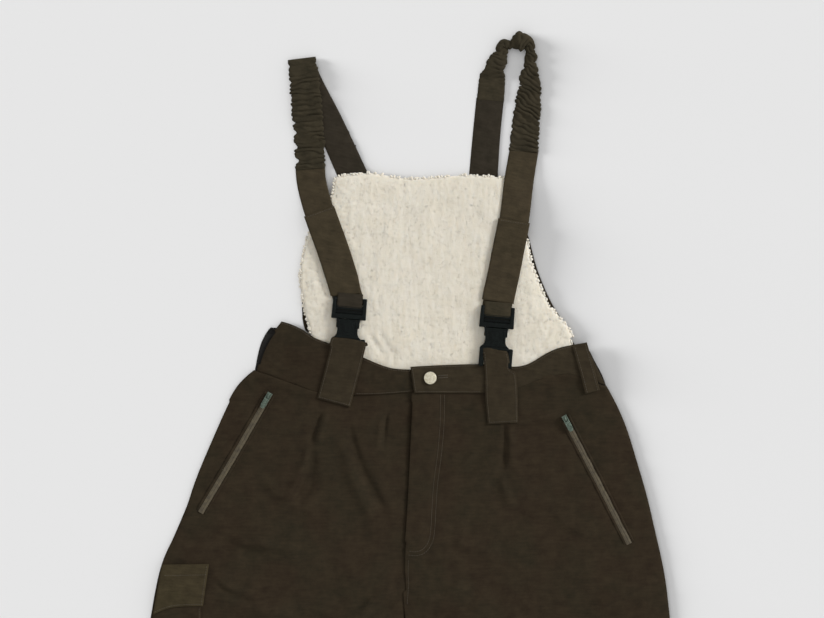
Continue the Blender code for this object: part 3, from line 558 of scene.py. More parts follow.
def smooth_line(points, step=1.0):
    """An even line along a smooth curve through a few points."""
    points = [np.array(p, dtype=float) for p in points]
    last = len(points) - 1
    found = []
    for i in range(last):
        p, q, r, s = (points[k] for k in (max(0, i - 1), i, i + 1, min(last, i + 2)))
        for t in np.linspace(0, 1, 12, endpoint=False):
            curve = 2 * q + (r - p) * t + (2 * p - 5 * q + 4 * r - s) * t**2
            found.append((curve + (3 * q - p - 3 * r + s) * t**3) / 2)
    found.append(points[-1])
    return resample(found, step)


def left_of(line):
    """Unit directions to the left of a line, at each of its points."""
    run = np.gradient(line, axis=0)
    run /= np.maximum(np.hypot(*run.T), 1e-9)[:, None]
    return np.column_stack([-run[:, 1], run[:, 0]])


def ribbon(places, way, out):
    """Grids of x and y for a strip, at distances to the left of its middle line."""
    return places[:, :1] + way[:, :1] * out, places[:, 1:] + way[:, 1:] * out


def beside(line, offset):
    """A line moved sideways, to its left where the offset is positive."""
    return line + offset * left_of(line)


def along_rim(name, start, end, inset):
    """The stretch of a piece's rim between two places, moved inwards."""
    loop = rims[name][:, :2]
    count = len(loop)
    a, b = (int(np.argmin(np.hypot(*(loop - np.array(place)).T))) for place in (start, end))
    forward = loop[[(a + i) % count for i in range((b - a) % count + 1)]]
    backward = loop[[(a - i) % count for i in range((a - b) % count + 1)]]
    ahead = lengths_along(forward)[-1] <= lengths_along(backward)[-1]
    xs, ys = loop.T
    turns_left = (xs * np.roll(ys, -1) - ys * np.roll(xs, -1)).sum() > 0
    side = inset if turns_left == ahead else -inset
    return beside(resample(forward if ahead else backward, 1.5), side)


# A ring is a place from 0 to 1 along a tube, its size as a share of the radius, and its lift in mm
STITCH_RADIUS = 0.36
STITCH_RINGS = ((0.0, 0.35, -0.2), (0.18, 0.9, 0.1), (0.5, 1.0, 0.22), (0.82, 0.9, 0.1), (1.0, 0.35, -0.2))
sewn = []


def sew(line, on, pitch=3.3, share=0.74):
    """Lay stitches along a line, on top of the named pieces."""
    places = resample(line, pitch)
    for a, b in zip(places, places[1:]):
        middle = (a + b) / 2
        ends = [middle + (p - middle) * share for p in (a, b)]
        heights = [height(on, *p) for p in ends]
        if None not in heights:
            sewn.append([(*p, z) for p, z in zip(ends, heights)])


def tube_rows(ends, radius, rings, sides):
    """Points of one tube, ring by ring between its two ends."""
    a, b = (np.array(end) for end in ends)
    run = (b - a) / np.linalg.norm(b - a)
    side = np.cross((0, 0, 1), run)
    side /= np.linalg.norm(side)
    up = np.cross(run, side)
    angles = [k * math.tau / sides for k in range(sides)]
    return [
        a + (b - a) * place + up * lift + radius * size * (side * math.cos(t) + up * math.sin(t))
        for place, size, lift in rings
        for t in angles
    ]


def tube_mesh(name, all_ends, radius, rings, sides=5):
    """One mesh of many short closed tubes."""
    points = []
    faces = []
    for ends in all_ends:
        base = len(points)
        points += tube_rows(ends, radius, rings, sides)
        for low in range(base, len(points) - sides, sides):
            for k in range(sides):
                m = (k + 1) % sides
                faces.append((low + k, low + m, low + sides + m, low + sides + k))
        faces.append(tuple(base + k for k in reversed(range(sides))))
        faces.append(tuple(len(points) - sides + k for k in range(sides)))
    thing = mesh_object(name, points, faces)
    bpy.ops.object.shade_smooth()
    return thing


# %% [markdown]
# The back of the garment lies on the floor: two back legs, the back of the waistband and the outer
# cloth of the bib. They show only past the edges of what lies on them, so they stay flat.

# %% Back panels
LEG_CUT = (380, 1130)
CENTRE_SEAM = (lambda x, y: abs(x) < 12 and y > 50, 1.2)
INSEAM = (lambda x, y: abs(x) < 26 and -14 < y <= 50, 4.0)


def tucked(x, y):
    """Lower the upper corners of the back pieces where the fronts hide them, and lift the side."""
    left = -26 * step_up((y - 358) / 25) * step_up((-106 - x) / 18) * step_up((x + 177) / 12) * (y < 440)
    side = 7 * step_up((y - 345) / 30) * step_up((-176 - x) / 8) * (y < 440)
    return 0 * x, left + side - 9 * step_up((y - 366) / 12) * step_up((x - 200) / 8)


BACKS = (
    ("leg_back_right", "back_leg_right", LEG_CUT, leg_cloth, 2, None),
    ("leg_back_left", "back_leg_left", LEG_CUT, leg_cloth, 2, None),
    ("waistband_back", "back_waistband", (470, 88), near_black_band_cloth, 3, tucked),
    ("bib_back", "back_bib", (370, 225), leg_cloth, 2, tucked),
)
for node, name, cut, look, levels, slant in BACKS:
    grow = [CENTRE_SEAM, INSEAM]
    panel = cloth(node, name, levels, soft=0.0, wall=2.4, rim=0.9, grow=grow, slant=slant)
    finish(panel, look, [node], cut=cut)

# %% [markdown]
# Sherpa is thick, so its solid is a pad with soft lumps. The copy of it gets two sizes of lump,
# which stand out more on the wings to its left and right, and combed streaks. The locks that make it
# read as pile come later, when it is known what they show beside. All the tables of creases have
# the same columns: where one starts and ends in millimetres, how far it bows, its width, its height
# (below 0 for a trough) and how much steeper one side is.


# %% Pile
def pile_lumps(x, y):
    points = floor_plan(x, y)
    curls = clouds(points, 9, 4.4) + 0.7 * clouds(points, 4.2, 8.8)
    combed = clouds(points, (6, 40, 10), 2.6)
    return 0.34 * curls * (1 + 1.5 * step_up((abs(x - 38) - 95) / 40)) + 0.4 * combed


PILE_CREASES = (
    (-52, 392, -24, 356, 3, 4.5, -2.4, 0.2),
    (-40, 400, -8, 352, 4, 5.0, -1.6, 0.3),
    (-66, 402, -50, 372, 2, 6.0, 1.0, 0.0),
    (30, 560, 34, 470, 3, 12.0, 0.8, 0.0),
    (-20, 540, -26, 440, 4, 14.0, 0.8, 0.0),
    (60, 440, 84, 372, 4, 12.0, -0.9, 0.0),
)
SIDE_OF_BIB = (lambda x, y: x > 186 and 385 < y < 425, 3.5)
bib_pile = cloth(
    "bib_lining", "bib_pile", creases=PILE_CREASES, soft=0.9, wall=1.6, rim=2.6, turn=4.0,
    extra=pile_lumps, grow=[SIDE_OF_BIB],
)

# %% [markdown]
# The front legs carry the folds that the eye goes to first: short pleats under the waistband, drag
# lines that fan out from the crotch, and long soft folds over the thighs, each placed one by one. The
# lines where the fly, the zips and the pockets are sewn are pressed in a little.

# %% Front legs
RIGHT_CREASES = (
    (-113, 288, -129, 243, 2, 3.52, -3.74, 0.5), (-106, 286, -121, 238, 2, 4.62, 2.799, 0.3),
    (-131, 246, -166, 165, -5, 6.6, 4.845, 0.4), (-124, 238, -150, 160, -4, 7.15, -4.14, 0.0),
    (-27, 288, -33, 240, 1, 3.3, -3.23, 0.5), (-35, 284, -41, 232, 1, 4.95, 2.728, 0.0),
    (-80, 280, -20, 140, 9, 6.6, -4.335, 0.3), (-92, 264, -34, 128, 9, 8.8, 4.335, 0.2),
    (-262, 140, -196, 114, 4, 4.18, 2.99, 0.4), (-250, 124, -184, 96, 3, 4.18, -2.3, 0.3),
    (-240, 112, -168, 106, -3, 4.62, 2.332, 0.2), (-215, 123, -137, 105, 4, 6.05, 3.924, 0.3),
    (-196, 200, -120, 158, 6, 8.8, 3.105, 0.0), (-259, 72, -192, 42, 4, 4.62, 3.498, 0.4),
    (-258, 62, -200, 32, 3, 4.4, -2.76, 0.3), (-250, 48, -150, 20, 6, 7.7, 4.14, 0.2),
    (-66, 20, -11, 58, -5, 6.6, 5.175, 0.3), (-62, 6, -14, 36, -4, 5.5, -3.45, 0.2),
    (-110, 60, -30, 84, 6, 8.8, 3.105, 0.1), (-160, -20, -50, 20, 8, 9.9, 4.83, 0.2),
    (-250, -60, -120, -40, 8, 11.0, -3.45, 0.1), (-340, -190, -210, -160, 9, 9.9, 4.08, 0.3),
    (-96, -190, -210, -160, 7, 8.8, -4.14, 0.2), (-110, -262, -250, -222, 9, 9.9, 5.175, 0.3),
    (-345, -330, -210, -362, 9, 11.0, 4.335, 0.3), (-100, -420, -240, -395, 8, 9.9, 4.83, 0.2),
    (-350, -470, -230, -450, 7, 8.8, -4.14, 0.2), (-345, -580, -220, -540, 8, 11.0, 4.485, 0.2),
    (-140, -640, -250, -620, 6, 8.8, 3.45, 0.2),
)
LEFT_CREASES = (
    (126, 276, 124, 205, -2, 3.52, -3.4, 0.4), (134, 276, 134, 210, 0, 5.28, 3.246, 0.0),
    (122, 208, 141, 156, 4, 6.6, 2.415, 0.3), (111, 212, 126, 150, 3, 7.15, -1.38, 0.0),
    (127, 272, 198, 288, 3, 4.62, 3.498, 0.4), (130, 264, 196, 279, 3, 4.4, -2.3, 0.2),
    (50, 203, 90, 238, 3, 4.18, 2.99, 0.3), (46, 188, 92, 214, 3, 4.18, -2.07, 0.3),
    (60, 170, 104, 190, 4, 6.6, 2.76, 0.1), (16, 93, 58, 101, 2, 3.74, 2.99, 0.3),
    (12, 84, 72, 87, 2, 4.18, -2.76, 0.2), (54, 119, 122, 106, 4, 7.15, 3.795, 0.2),
    (8, 38, 80, 68, 6, 7.15, 5.175, 0.3), (12, 18, 92, 38, 5, 6.6, -3.795, 0.2),
    (40, -10, 172, 26, 8, 9.9, 4.83, 0.2), (330, 66, 236, 24, 6, 8.25, 4.485, 0.2),
    (318, 30, 220, 0, 6, 7.7, -3.45, 0.2), (190, 150, 250, 128, 4, 7.7, 3.105, 0.1),
    (345, -170, 205, -140, 9, 9.9, 4.08, 0.3), (90, -240, 250, -205, 9, 9.9, 5.175, 0.3),
    (340, -250, 220, -262, 6, 8.8, -4.14, 0.2), (350, -322, 190, -352, 9, 11.0, 4.335, 0.3),
    (98, -422, 232, -385, 8, 9.9, 4.83, 0.2), (352, -500, 240, -470, 7, 9.9, 4.14, 0.2),
    (348, -600, 220, -560, 8, 11.0, 4.485, 0.2),
)
ZIP_LINES = {
    "right": np.array([(-183, 311), (-230, 229), (-274.6, 154)], dtype=float),
    "left": np.array([(204, 281), (246, 201), (290.4, 113)], dtype=float),
}
FLY_STITCH = smooth_line(
    [(41.6, 310), (41, 273), (37.8, 234), (32.6, 194), (30.2, 160), (29, 137), (26.5, 119), (19, 107),
     (9, 103), (0, 104)]
)
FLY_SEAM = smooth_line([(-0.6, 92), (-1.2, 74), (-0.8, 56), (-2.6, 34)])


def leg_side(x, y):
    """True along the side seams, the inseams and the hems, but not at the waist or the fly."""
    return y < -35 or abs(x) > 190 + (340 - y) * 0.25


def fine_wrinkles(x, y):
    """Short creases across the leg, a few millimetres apart, where the nap has been bent."""
    points = floor_plan(x, y)
    drags = 0.55 * clouds(points, (34, 9, 9), 6.1) + 0.35 * clouds(points, (14, 6, 9), 4.7)
    return drags + 0.5 * clouds(points, 28, 9.3) + 0.25 * clouds(points, 13, 3.3)


# Stretches of rim, and how far out or up they go: the left front laps over the right one at the
# fly, both go in under the waistband, and the cloth is drawn level with what lies beside it
UNDER_BAND = (lambda x, y: y > 300 and abs(x) < 262 - (y - 300) * 0.9, 1.6)
AT_LOOP = (lambda x, y: y > 300 and 176 < x < 262 - (y - 300) * 0.9, 2.4)
CROTCH = (lambda x, y: abs(x) < 26 and -34 < y < 50, 2.5)
FLY_LAP = (lambda x, y: abs(x) < 14 and 50 <= y < 118, -1.6)
UNDER_FLY = (lambda x, y: abs(x) < 14 and 50 <= y < 118, 4.0)
LEVEL_WITH_FLY = (lambda x, y: abs(x) < 14 and 40 < y < 116, 1.1, 14)
RIGHT_OF_BAND = (lambda x, y: y > 300 and -215 < x < -122, 2.9, 16)
LEFT_OF_BAND = (lambda x, y: y > 300 and 140 < x < 262, 3.1, 16)
FLY_EDGE = smooth_line([(5, 303), (2.2, 203), (-0.8, 139), (-2.6, 112), (-6, 100)])
SHAPES = {
    "right": {
        "creases": RIGHT_CREASES,
        "pressed": [(FLY_EDGE, 2.6, 1.6)],
        "grow": [UNDER_BAND, CROTCH, UNDER_FLY],
        "raised": [RIGHT_OF_BAND, LEVEL_WITH_FLY],
    },
    "left": {
        "creases": LEFT_CREASES,
        "pressed": [(FLY_STITCH, 2.6, 0.7), (beside(FLY_STITCH, 5), 2.6, 0.7), (FLY_SEAM, 2.4, 0.6)],
        "grow": [UNDER_BAND, CROTCH, FLY_LAP, AT_LOOP],
        "raised": [LEFT_OF_BAND],
        "on": ["front_leg_right"],
    },
}
for side, shape in SHAPES.items():
    shape["pressed"].insert(0, (resample(ZIP_LINES[side], 2), 8.0, 1.0))
    leg = cloth(
        "leg_front_" + side, "front_leg_" + side, low_side=leg_side, soft=0.5, extra=fine_wrinkles, **shape
    )
    finish(leg, leg_cloth, ["leg_front_" + side], cut=LEG_CUT)

# %% [markdown]
# The waistband is two layers with a stiffener between them, so it folds little: it only ripples
# where it leans on the bib, and its edges are thick and round. The left end laps over the right.

# %% Waistband
BAND_CREASES = {
    "right": (
        (-195, 366, -156, 340, 3, 3.6, 1.0, 0.3),
        (-190, 350, -160, 333, 2, 3.2, -0.9, 0.2),
        (-150, 368, -118, 342, 2, 5.0, 0.8, 0.1),
        (-48, 350, -52, 312, 1, 5.0, -0.9, 0.2),
        (-20, 342, -10, 318, 1, 4.0, 0.7, 0.1),
    ),
    "left": (
        (150, 346, 190, 342, 2, 4.0, 0.8, 0.2),
        (160, 332, 215, 352, 2, 4.0, -0.8, 0.2),
        (60, 342, 90, 330, 2, 5.0, 0.6, 0.1),
    ),
}
CORNER = (lambda x, y: (y > 380) * math.exp(-(((x + 141) / 11) ** 2)), 3.0)
OPEN_SIDE = (lambda x, y: x < -178 and y > 350, -2.5)
FLAP_EDGE = smooth_line([(2.0, 350), (3.2, 335), (6.4, 312)])
LAPPED = {"pressed": [(FLAP_EDGE, 2.4, 1.4)], "grow": [CORNER, OPEN_SIDE]}
BANDS = (
    ("right", (242, 66), leg_cloth, LAPPED),
    ("left", (270, 50), band_cloth, {"on": ["front_waistband_right"]}),
)
for side, cut, look, more in BANDS:
    node = "waistband_front_" + side
    band = cloth(
        node, "front_waistband_" + side, 4, BAND_CREASES[side], wall=2.4, soft=0.5, rim=1.1, turn=3.0,
        extra=fine_wrinkles, **more,
    )
    finish(band, look, [node], cut=cut)

# %% [markdown]
# The cargo pocket and its flap lie on the right thigh and run off round the side. The belt loop
# is a folded strip that is sewn down at both ends.

# %% Thigh pocket and belt loop
POCKET_CREASES = (
    (-345, 30, -285, 10, 4, 6.0, 1.0, 0.2),
    (-350, -50, -285, -30, 5, 8.0, -0.9, 0.2),
    (-340, -90, -280, -96, 3, 7.0, 0.9, 0.2),
)
pocket_shape = {"creases": POCKET_CREASES, "soft": 0.5, "rim": 1.4, "turn": 3.0}
flap_shape = {"soft": 0.4, "rim": 1.1}
loop_shape = {"levels": 4, "soft": 0.2, "rim": 1.0}
LEG, POCKET, BAND = "front_leg_right", "thigh_pocket", "front_waistband_left"
SEWN_ON = (
    ("cargo_pocket_right", POCKET, (105, 208), leg_cloth, [LEG], pocket_shape),
    ("cargo_flap_right", "thigh_pocket_flap", (80, 72), flap_cloth, [LEG, POCKET], flap_shape),
    ("belt_loop_left", "side_belt_loop", (22, 66), band_cloth, ["front_leg_left", BAND], loop_shape),
)
for node, name, cut, look, over, shape in SEWN_ON:
    piece = cloth(node, name, wall=1.8, on=over, **shape)
    finish(piece, look, [node], cut=cut)

# %% [markdown]
# A strap is a flat tube of cloth. It is made here as two grids of points, one for its upper side
# and one for its underside, along a middle line. Where elastic runs inside it, the cloth bunches
# into rounded crests between narrow creases. The creases wander, fork and fade, so they come from
# a sine whose phase is pushed about by noise.


# %% Strap helpers
def closed_sheet(name, x, y, upper, lower):
    """A closed mesh from two grids of heights over the same places, in mm."""
    rows, columns = x.shape
    count = rows * columns
    points = np.concatenate([np.stack([x, y, z], -1).reshape(-1, 3) for z in (upper, lower)])
    index = np.arange(count).reshape(rows, columns)
    corners = (index[:-1, :-1], index[:-1, 1:], index[1:, 1:], index[1:, :-1])
    above = np.stack([c.ravel() for c in corners], -1)
    rim = [int(i) for i in (*index[0, :-1], *index[:-1, -1], *index[-1, :0:-1], *index[:0:-1, 0])]
    sides = [[b, a, a + count, b + count] for a, b in zip(rim, rim[1:] + rim[:1])]
    thing = mesh_object(name, points, above.tolist() + (above[:, ::-1] + count).tolist() + sides)
    smooth_below(thing, 60)
    thing["flat_area"] = sum(face.area for face in thing.data.polygons) / 2
    remember(thing)
    return thing


def run_frame(stations, start, end, step):
    """Lengths, places, side directions and half-widths along a strap between two lengths."""
    table = np.array(stations, dtype=float)
    marks = lengths_along(table[:, :2])
    middle = smooth_line(table[:, :2], 1.0)
    full = np.linspace(0, marks[-1], len(middle))
    lengths = np.arange(start, end + step / 2, step)
    places = np.column_stack([np.interp(lengths, full, middle[:, k]) for k in (0, 1)])
    return lengths, places, left_of(places), np.interp(lengths, marks, table[:, 2]) / 2


def averaged(values, reach):
    """Each value as the mean of those up to a reach before and after it."""
    count = 2 * reach + 1
    return np.convolve(np.pad(values, reach, mode="edge"), np.ones(count) / count, mode="valid")


def gathers(lengths, across, period, slant, seed):
    """Crests of bunched cloth from 0 to about 1, over a grid of lengths and places across."""
    wander = noise_grid(lengths, across, lambda s, t: (s / 13 + seed, 0.9 * t, seed))
    fine = noise_grid(lengths, across, lambda s, t: (s / 4.5, 1.8 * t + seed, 2 * seed))
    phase = lengths[:, None] / period + slant[:, None] * across[None, :] + 0.8 * wander + 0.22 * fine
    crest = np.abs(np.sin(math.pi * phase)) ** 0.75
    return crest * (0.85 + 0.8 * wander) + 0.25 * fine


GATHER_EVERY = 7.0
STRAP_STEP = 0.7


def elastic(side, stations, end, tables, notches, seed, length):
    """A gathered stretch of strap. The tables give values at lengths along it, in mm."""
    node = "strap_elastic_" + side
    lengths, places, way, half = run_frame(stations, 0, end, STRAP_STEP)
    across = np.linspace(-1, 1, 27)
    read = {key: np.interp(lengths, *np.array(rows, dtype=float).T) for key, rows in tables.items()}
    crest = gathers(lengths, across, GATHER_EVERY, read["slant"], seed)
    spread = np.where(across[None, :] < 0, crest[:, :1], crest[:, -1:]) - 0.6
    out = across[None, :] * (half[:, None] + 0.9 * read["depth"][:, None] * spread)
    for at, edge, depth, wide in notches:
        bite = depth * np.exp(-(((lengths[:, None] - at) / wide) ** 2))
        out -= edge * bite * step_up((edge * across[None, :] - 0.45) / 0.55)
    x, y = ribbon(places, way, out)
    low = averaged([meet(node, *place, -0.01, UP) or 0.0 for place in places], 12)
    power = read["square"][:, None]
    bulge = (1 - np.abs(across[None, :]) ** power) ** (1 / power)
    closing = rounded(np.minimum(lengths, end - lengths) / read["close"])
    bulge = bulge * (0.25 + 0.75 * closing)[:, None]
    half_thick = read["thick"][:, None] / 2
    middle = low[:, None] + half_thick
    upper = middle + (half_thick + read["depth"][:, None] * (crest - 0.5)) * bulge
    lower = np.maximum(GAP, middle - half_thick * bulge)
    strap = closed_sheet("gathered_strap_" + side, x, y, np.maximum(upper, lower + GAP), lower)
    finish(strap, gathered_and_turn_shade_cloth, [node], cut=(40, length))


# %% Gathered braces
# Columns: x, y of the strap's middle, and its width, all in mm
RIGHT_RUN = (
    (-141.5, 753, 37), (-139.3, 735, 39), (-136, 705, 40), (-134.2, 678, 41), (-131.5, 638, 40),
    (-130.3, 610, 39), (-129, 591, 39),
)
LEFT_RUN = (
    (107.3, 697, 36), (109.5, 722, 35), (110.5, 731, 33), (112.6, 741, 25), (118.5, 752, 25),
    (122, 760, 15.5), (124.5, 770, 17), (134.6, 771.5, 11), (146, 774.6, 27), (157.5, 771.5, 18),
    (159.6, 762, 11.5), (161, 755.5, 16), (158.8, 748, 15), (160.7, 739, 18.5), (158.6, 729, 26),
    (160, 718, 29), (158.7, 707, 32), (156.9, 687.7, 35), (154.8, 672, 36.5), (152.7, 650, 38),
    (151.4, 629, 38.7),
)
RIGHT_TABLES = {
    "thick": ((0, 4.4), (7, 4.4), (9.5, 3.0), (16, 4.0), (150, 4.0)),
    "depth": ((0, 0.3), (8, 0.5), (12, 2.0), (30, 2.6), (140, 2.7), (148, 1.8)),
    "square": ((0, 7), (150, 6)),
    "slant": ((0, 0.1), (40, 0.25), (100, -0.1), (150, 0.05)),
    "close": ((0, 3.0), (100, 3.0), (110, 1.0)),
}
# Columns: place along the strap, which edge, depth and half-width of a bite out of the edge, in mm
RIGHT_NOTCHES = (
    (9.5, -1, 2.2, 2.6), (9.0, 1, 1.2, 2.4), (30, -1, 1.2, 2.5), (52, -1, 1.5, 3), (84.5, -1, 3.2, 2.6),
    (97, -1, 4.2, 3.0), (116, -1, 4.6, 3.2), (134.5, -1, 4.4, 3.2), (104, 1, 0.8, 3),
)
LEFT_TABLES = {
    "thick": (
        (0, 2.6), (30, 3.4), (40, 6.5), (54, 8.0), (62, 7.0), (74, 10.0), (85, 7.0), (96.5, 13.0),
        (109, 10.5), (119, 7.5), (126, 9.5), (133, 8.0), (143, 9.0), (155, 7.5), (180, 5.0), (252, 4.2),
    ),
    "depth": ((0, 0.2), (18, 0.5), (33, 1.6), (60, 1.8), (120, 1.8), (160, 2.6), (248, 2.7), (256, 1.6)),
    "square": ((0, 7), (33, 5), (50, 2.4), (140, 2.4), (165, 5), (256, 6)),
    "slant": (
        (0, 0.1), (30, 0.9), (60, 0.7), (90, -0.6), (125, -0.9), (165, -1.4), (205, -1.3), (252, -0.6),
    ),
    "close": ((0, 1.0), (256, 1.0)),
}
LEFT_NOTCHES = (
    (40, 1, 2.5, 3), (166, -1, 2.0, 3), (180, 1, 2.2, 3), (211, 1, 2.4, 3), (196, -1, 1.2, 2.5),
    (226, -1, 1.4, 2.5), (238, 1, 1.2, 2.5),
)
elastic("right", RIGHT_RUN, 147, RIGHT_TABLES, RIGHT_NOTCHES, 3.0, 330)
elastic("left", LEFT_RUN, 253, LEFT_TABLES, LEFT_NOTCHES, 5.0, 520)

# %% [markdown]
# The plain stretches are the same cloth without elastic: the runs sewn to the top of the bib, the
# front runs, and the ends that turn back over themselves after they pass the buckle's bar.


# %% Plain straps
def bunched_top(x, y):
    """Small gathers near the top of the right back run, where the elastic pulls on it."""
    phase = (y + 0.45 * x) / 6.0 + 0.5 * clouds(floor_plan(x, y), 14, 1.7)
    return 1.3 * (np.abs(np.sin(math.pi * phase)) ** 0.6 - 0.5) * step_up((y - 672) / 30)


def level_end(x, y):
    """Turn the lower end of the right strap's fold until it lies level."""
    return 0 * x, -0.22 * (x + 103.6) * step_up((470 - y) / 25)


STRAP_CREASES = (
    (-146, 600, -116, 604, 2, 2.6, 0.9, 0.3),
    (-144, 592, -114, 596, 1, 2.6, -0.8, 0.2),
    (-140, 580, -112, 590, 2, 4.0, 0.6, 0.2),
    (-116, 548, -92, 560, 2, 4.0, -0.7, 0.3),
    (136, 622, 166, 614, 2, 3.0, 0.8, 0.3),
    (134, 606, 160, 600, 2, 4.0, -0.6, 0.2),
)
FOLD_CREASES = (
    (-104, 452, -66, 456, 2, 3.4, 0.9, 0.3),
    (-106, 444, -66, 447, 1, 3.0, -0.9, 0.3),
    (104, 452, 140, 444, 2, 3.4, 0.8, 0.3),
    (110, 470, 144, 462, 2, 4.0, -0.6, 0.2),
)
FRONT = {"creases": STRAP_CREASES, "on": ["bib_pile"]}
TURNED = {side: {"creases": FOLD_CREASES, "on": ["front_strap_" + side]} for side in ("right", "left")}
TURNED["right"]["slant"] = level_end
STRAPS = (
    ("strap_back_right", "back_strap_right", (42, 170), back_strap_and_turn_shade_cloth, {"extra": bunched_top}),
    ("strap_back_left", "back_strap_left", (40, 108), back_strap_and_turn_shade_cloth, {}),
    ("strap_front_right", "front_strap_right", (41, 200), strap_cloth, FRONT),
    ("strap_front_left", "front_strap_left", (41, 226), strap_cloth, FRONT),
    ("strap_fold_right", "turned_strap_right", (44, 112), strap_cloth, TURNED["right"]),
    ("strap_fold_left", "turned_strap_left", (44, 112), strap_cloth, TURNED["left"]),
)
for node, name, cut, look, more in STRAPS:
    strap = cloth(node, name, wall=2.0, soft=0.25, rim=1.2, turn=2.6, **more)
    finish(strap, look, [node], cut=cut)

# %% [markdown]
# The pile's locks are short tapered tufts. Inside the bib they lie flush, the way the pile was
# combed, and along the rim thicker curls stick out. They are left out where cloth or a buckle
# presses on the pile, and each kind is one mesh.

# %% Locks of pile
LOCK_RINGS = ((0.0, 0.7, -0.4), (0.35, 1.0, 0.1), (0.72, 0.75, 0.15), (1.0, 0.2, 0.0))
CURL_RINGS = ((0.0, 0.6, -0.5), (0.3, 1.0, 0.1), (0.7, 1.0, 0.2), (0.92, 0.75, 0.1), (1.0, 0.3, 0.0))
COVERS = ["side_belt_loop"]
for kind in ("front_waistband_", "front_leg_", "front_strap_", "turned_strap_", "buckle_male_",
             "buckle_female_", "tab_"):
    COVERS += [kind + "left", kind + "right"]
LOCK_COUNT = 3000
LOCK_DEPTH = 0.4
CURL_EVERY = 2.1
CURLS_SKIPPED = 0.35


def moved(x, y, way, length):
    return x + length * math.cos(way), y + length * math.sin(way)


locks = []
while len(locks) < LOCK_COUNT:
    x = dice.uniform(-146, 224)
    y = dice.uniform(318, 600)
    z = height(["bib_pile"], x, y)
    if z is None or height(COVERS, x, y) is not None:
        continue
    sway = math.radians(-90) + dice.gauss(0, 0.45) + 0.8 * noise.noise(Vector((x / 30, y / 30, 1)))
    tip = moved(x, y, sway, dice.uniform(3.0, 6.0))
    end = height(["bib_pile"], *tip)
    if end is None or height(COVERS, *tip) is not None:
        continue
    locks.append([(x, y, z - LOCK_DEPTH), (*tip, end + dice.uniform(-0.45, -0.2))])
curls = []
pile_rim = rims["bib_pile"][:, :2]
middle = pile_rim.mean(axis=0)
for x, y in resample(np.vstack([pile_rim, pile_rim[:1]]), CURL_EVERY):
    if height(COVERS, x, y) is not None or y < 350 or dice.random() < CURLS_SKIPPED:
        continue
    out = math.atan2(y - middle[1], x - middle[0]) + dice.gauss(0, 0.9)
    tip = moved(x, y, out, dice.uniform(0.8, 2.6) * (1.3 if y > 570 else 1))
    start = moved(x, y, out, -dice.uniform(0.8, 3.0))
    z = height(["bib_pile"], *start)
    if z is not None and height(COVERS, *tip) is None:
        curls.append([(*start, z - LOCK_DEPTH), (*tip, max(3.2, z - dice.uniform(1.0, 2.4)))])
tufts = [
    tube_mesh("pile_locks", locks, 0.5, LOCK_RINGS, sides=3),
    tube_mesh("pile_rim_locks", curls, 1.5, CURL_RINGS, sides=6),
]
for tuft in tufts:
    finish(tuft, pile)
finish(bib_pile, pile, ["bib_lining"], cut=(366, 300))

# %% [markdown]
# A side-release buckle is moulded in two halves. The male half has a ladder of bars that grips the
# strap, and two springy arms. They clip into the female half, which has a waist to pinch and a
# raised guide down its middle. Every part is a block, drawn in at one end and rounded.


# %% Moulded blocks
def block(size, at, round_by=0.7, near=1.0, far=1.0, between=()):
    """A rounded block in mm. Its width goes from near at -Y to far at +Y, by way of between."""
    bpy.ops.object.select_all(action="DESELECT")
    bpy.ops.mesh.primitive_cube_add(size=1)
    thing = bpy.context.object
    if between:
        with editing(thing):
            bpy.ops.mesh.subdivide(number_cuts=len(between))
    thing.data.transform(Matrix.Translation(Vector(at) * MM) @ Matrix.Diagonal((*(Vector(size) * MM), 1)))
    shares = (near, *between, far)
    for k, share in enumerate(shares):
        if share == 1.0:
            continue
        station = at[1] + size[1] * (k / (len(shares) - 1) - 0.5)
        with editing(thing):
            bpy.ops.mesh.select_all(action="DESELECT")
        for vertex in thing.data.vertices:
            vertex.select = abs(vertex.co.y / MM - station) < 0.01
        with editing(thing, select=None):
            bpy.ops.transform.resize(value=(share, 1, 1), center_override=Vector(at) * MM)
    apply_modifier(thing, "BEVEL", width=round_by * MM, segments=3, limit_method="ANGLE")
    return thing


def pair(size, at, round_by, shift=0.0, **widths):
    """Two blocks on either side of the middle, which a shift moves along X."""
    return [block(size, (sign * at[0] + shift, *at[1:]), round_by, **widths) for sign in (-1, 1)]


def join(parts, name, matrix):
    """Join parts into one piece, and set it in its place."""
    only(parts[0])
    for part in parts[1:]:
        part.select_set(True)
    bpy.ops.object.join()
    thing = bpy.context.object
    thing.name = name
    thing.data.name = name
    thing.data.transform(matrix)
    return thing


# %% Buckles
BUCKLES = {
    "right": {"place": (-79.5, 408.5), "ear_middle": -29.0, "ear_length": 9.0},
    "left": {"place": (114.5, 397), "ear_middle": -38.4, "ear_length": 25.6},
}
BUCKLE_TILT = math.radians(-5)
WAIST = (0.95, 0.87, 0.84, 0.84, 0.86, 0.89, 0.92, 0.96)


def male_half():
    """Two arms, the end bar, the ladder's bar with its ribs and lip, a plate, a sill, two prongs."""
    return [
        *pair((5.6, 28.5, 4.8), (20.0, 14.6, 2.5), 1.2, far=0.8),
        block((38, 4.6, 3.0), (0, 26.2, 1.9), 0.9),
        block((38, 5.0, 3.6), (0, 15.2, 2.1), 0.8),
        *[block((36, 0.7, 0.8), (0, 13.7 + 1.5 * k, 4.0), 0.2) for k in range(3)],
        block((37, 1.6, 2.0), (0, 9.6, 3.0), 0.5),
        block((37, 15.0, 1.2), (0, 11.5, 0.9), 0.3),
        block((44, 6.8, 5.2), (0, 3.8, 2.8), 1.2, near=0.84),
        *pair((2.2, 12.0, 3.0), (14.2, -5.0, 5.6), 0.8, near=0.95),
    ]


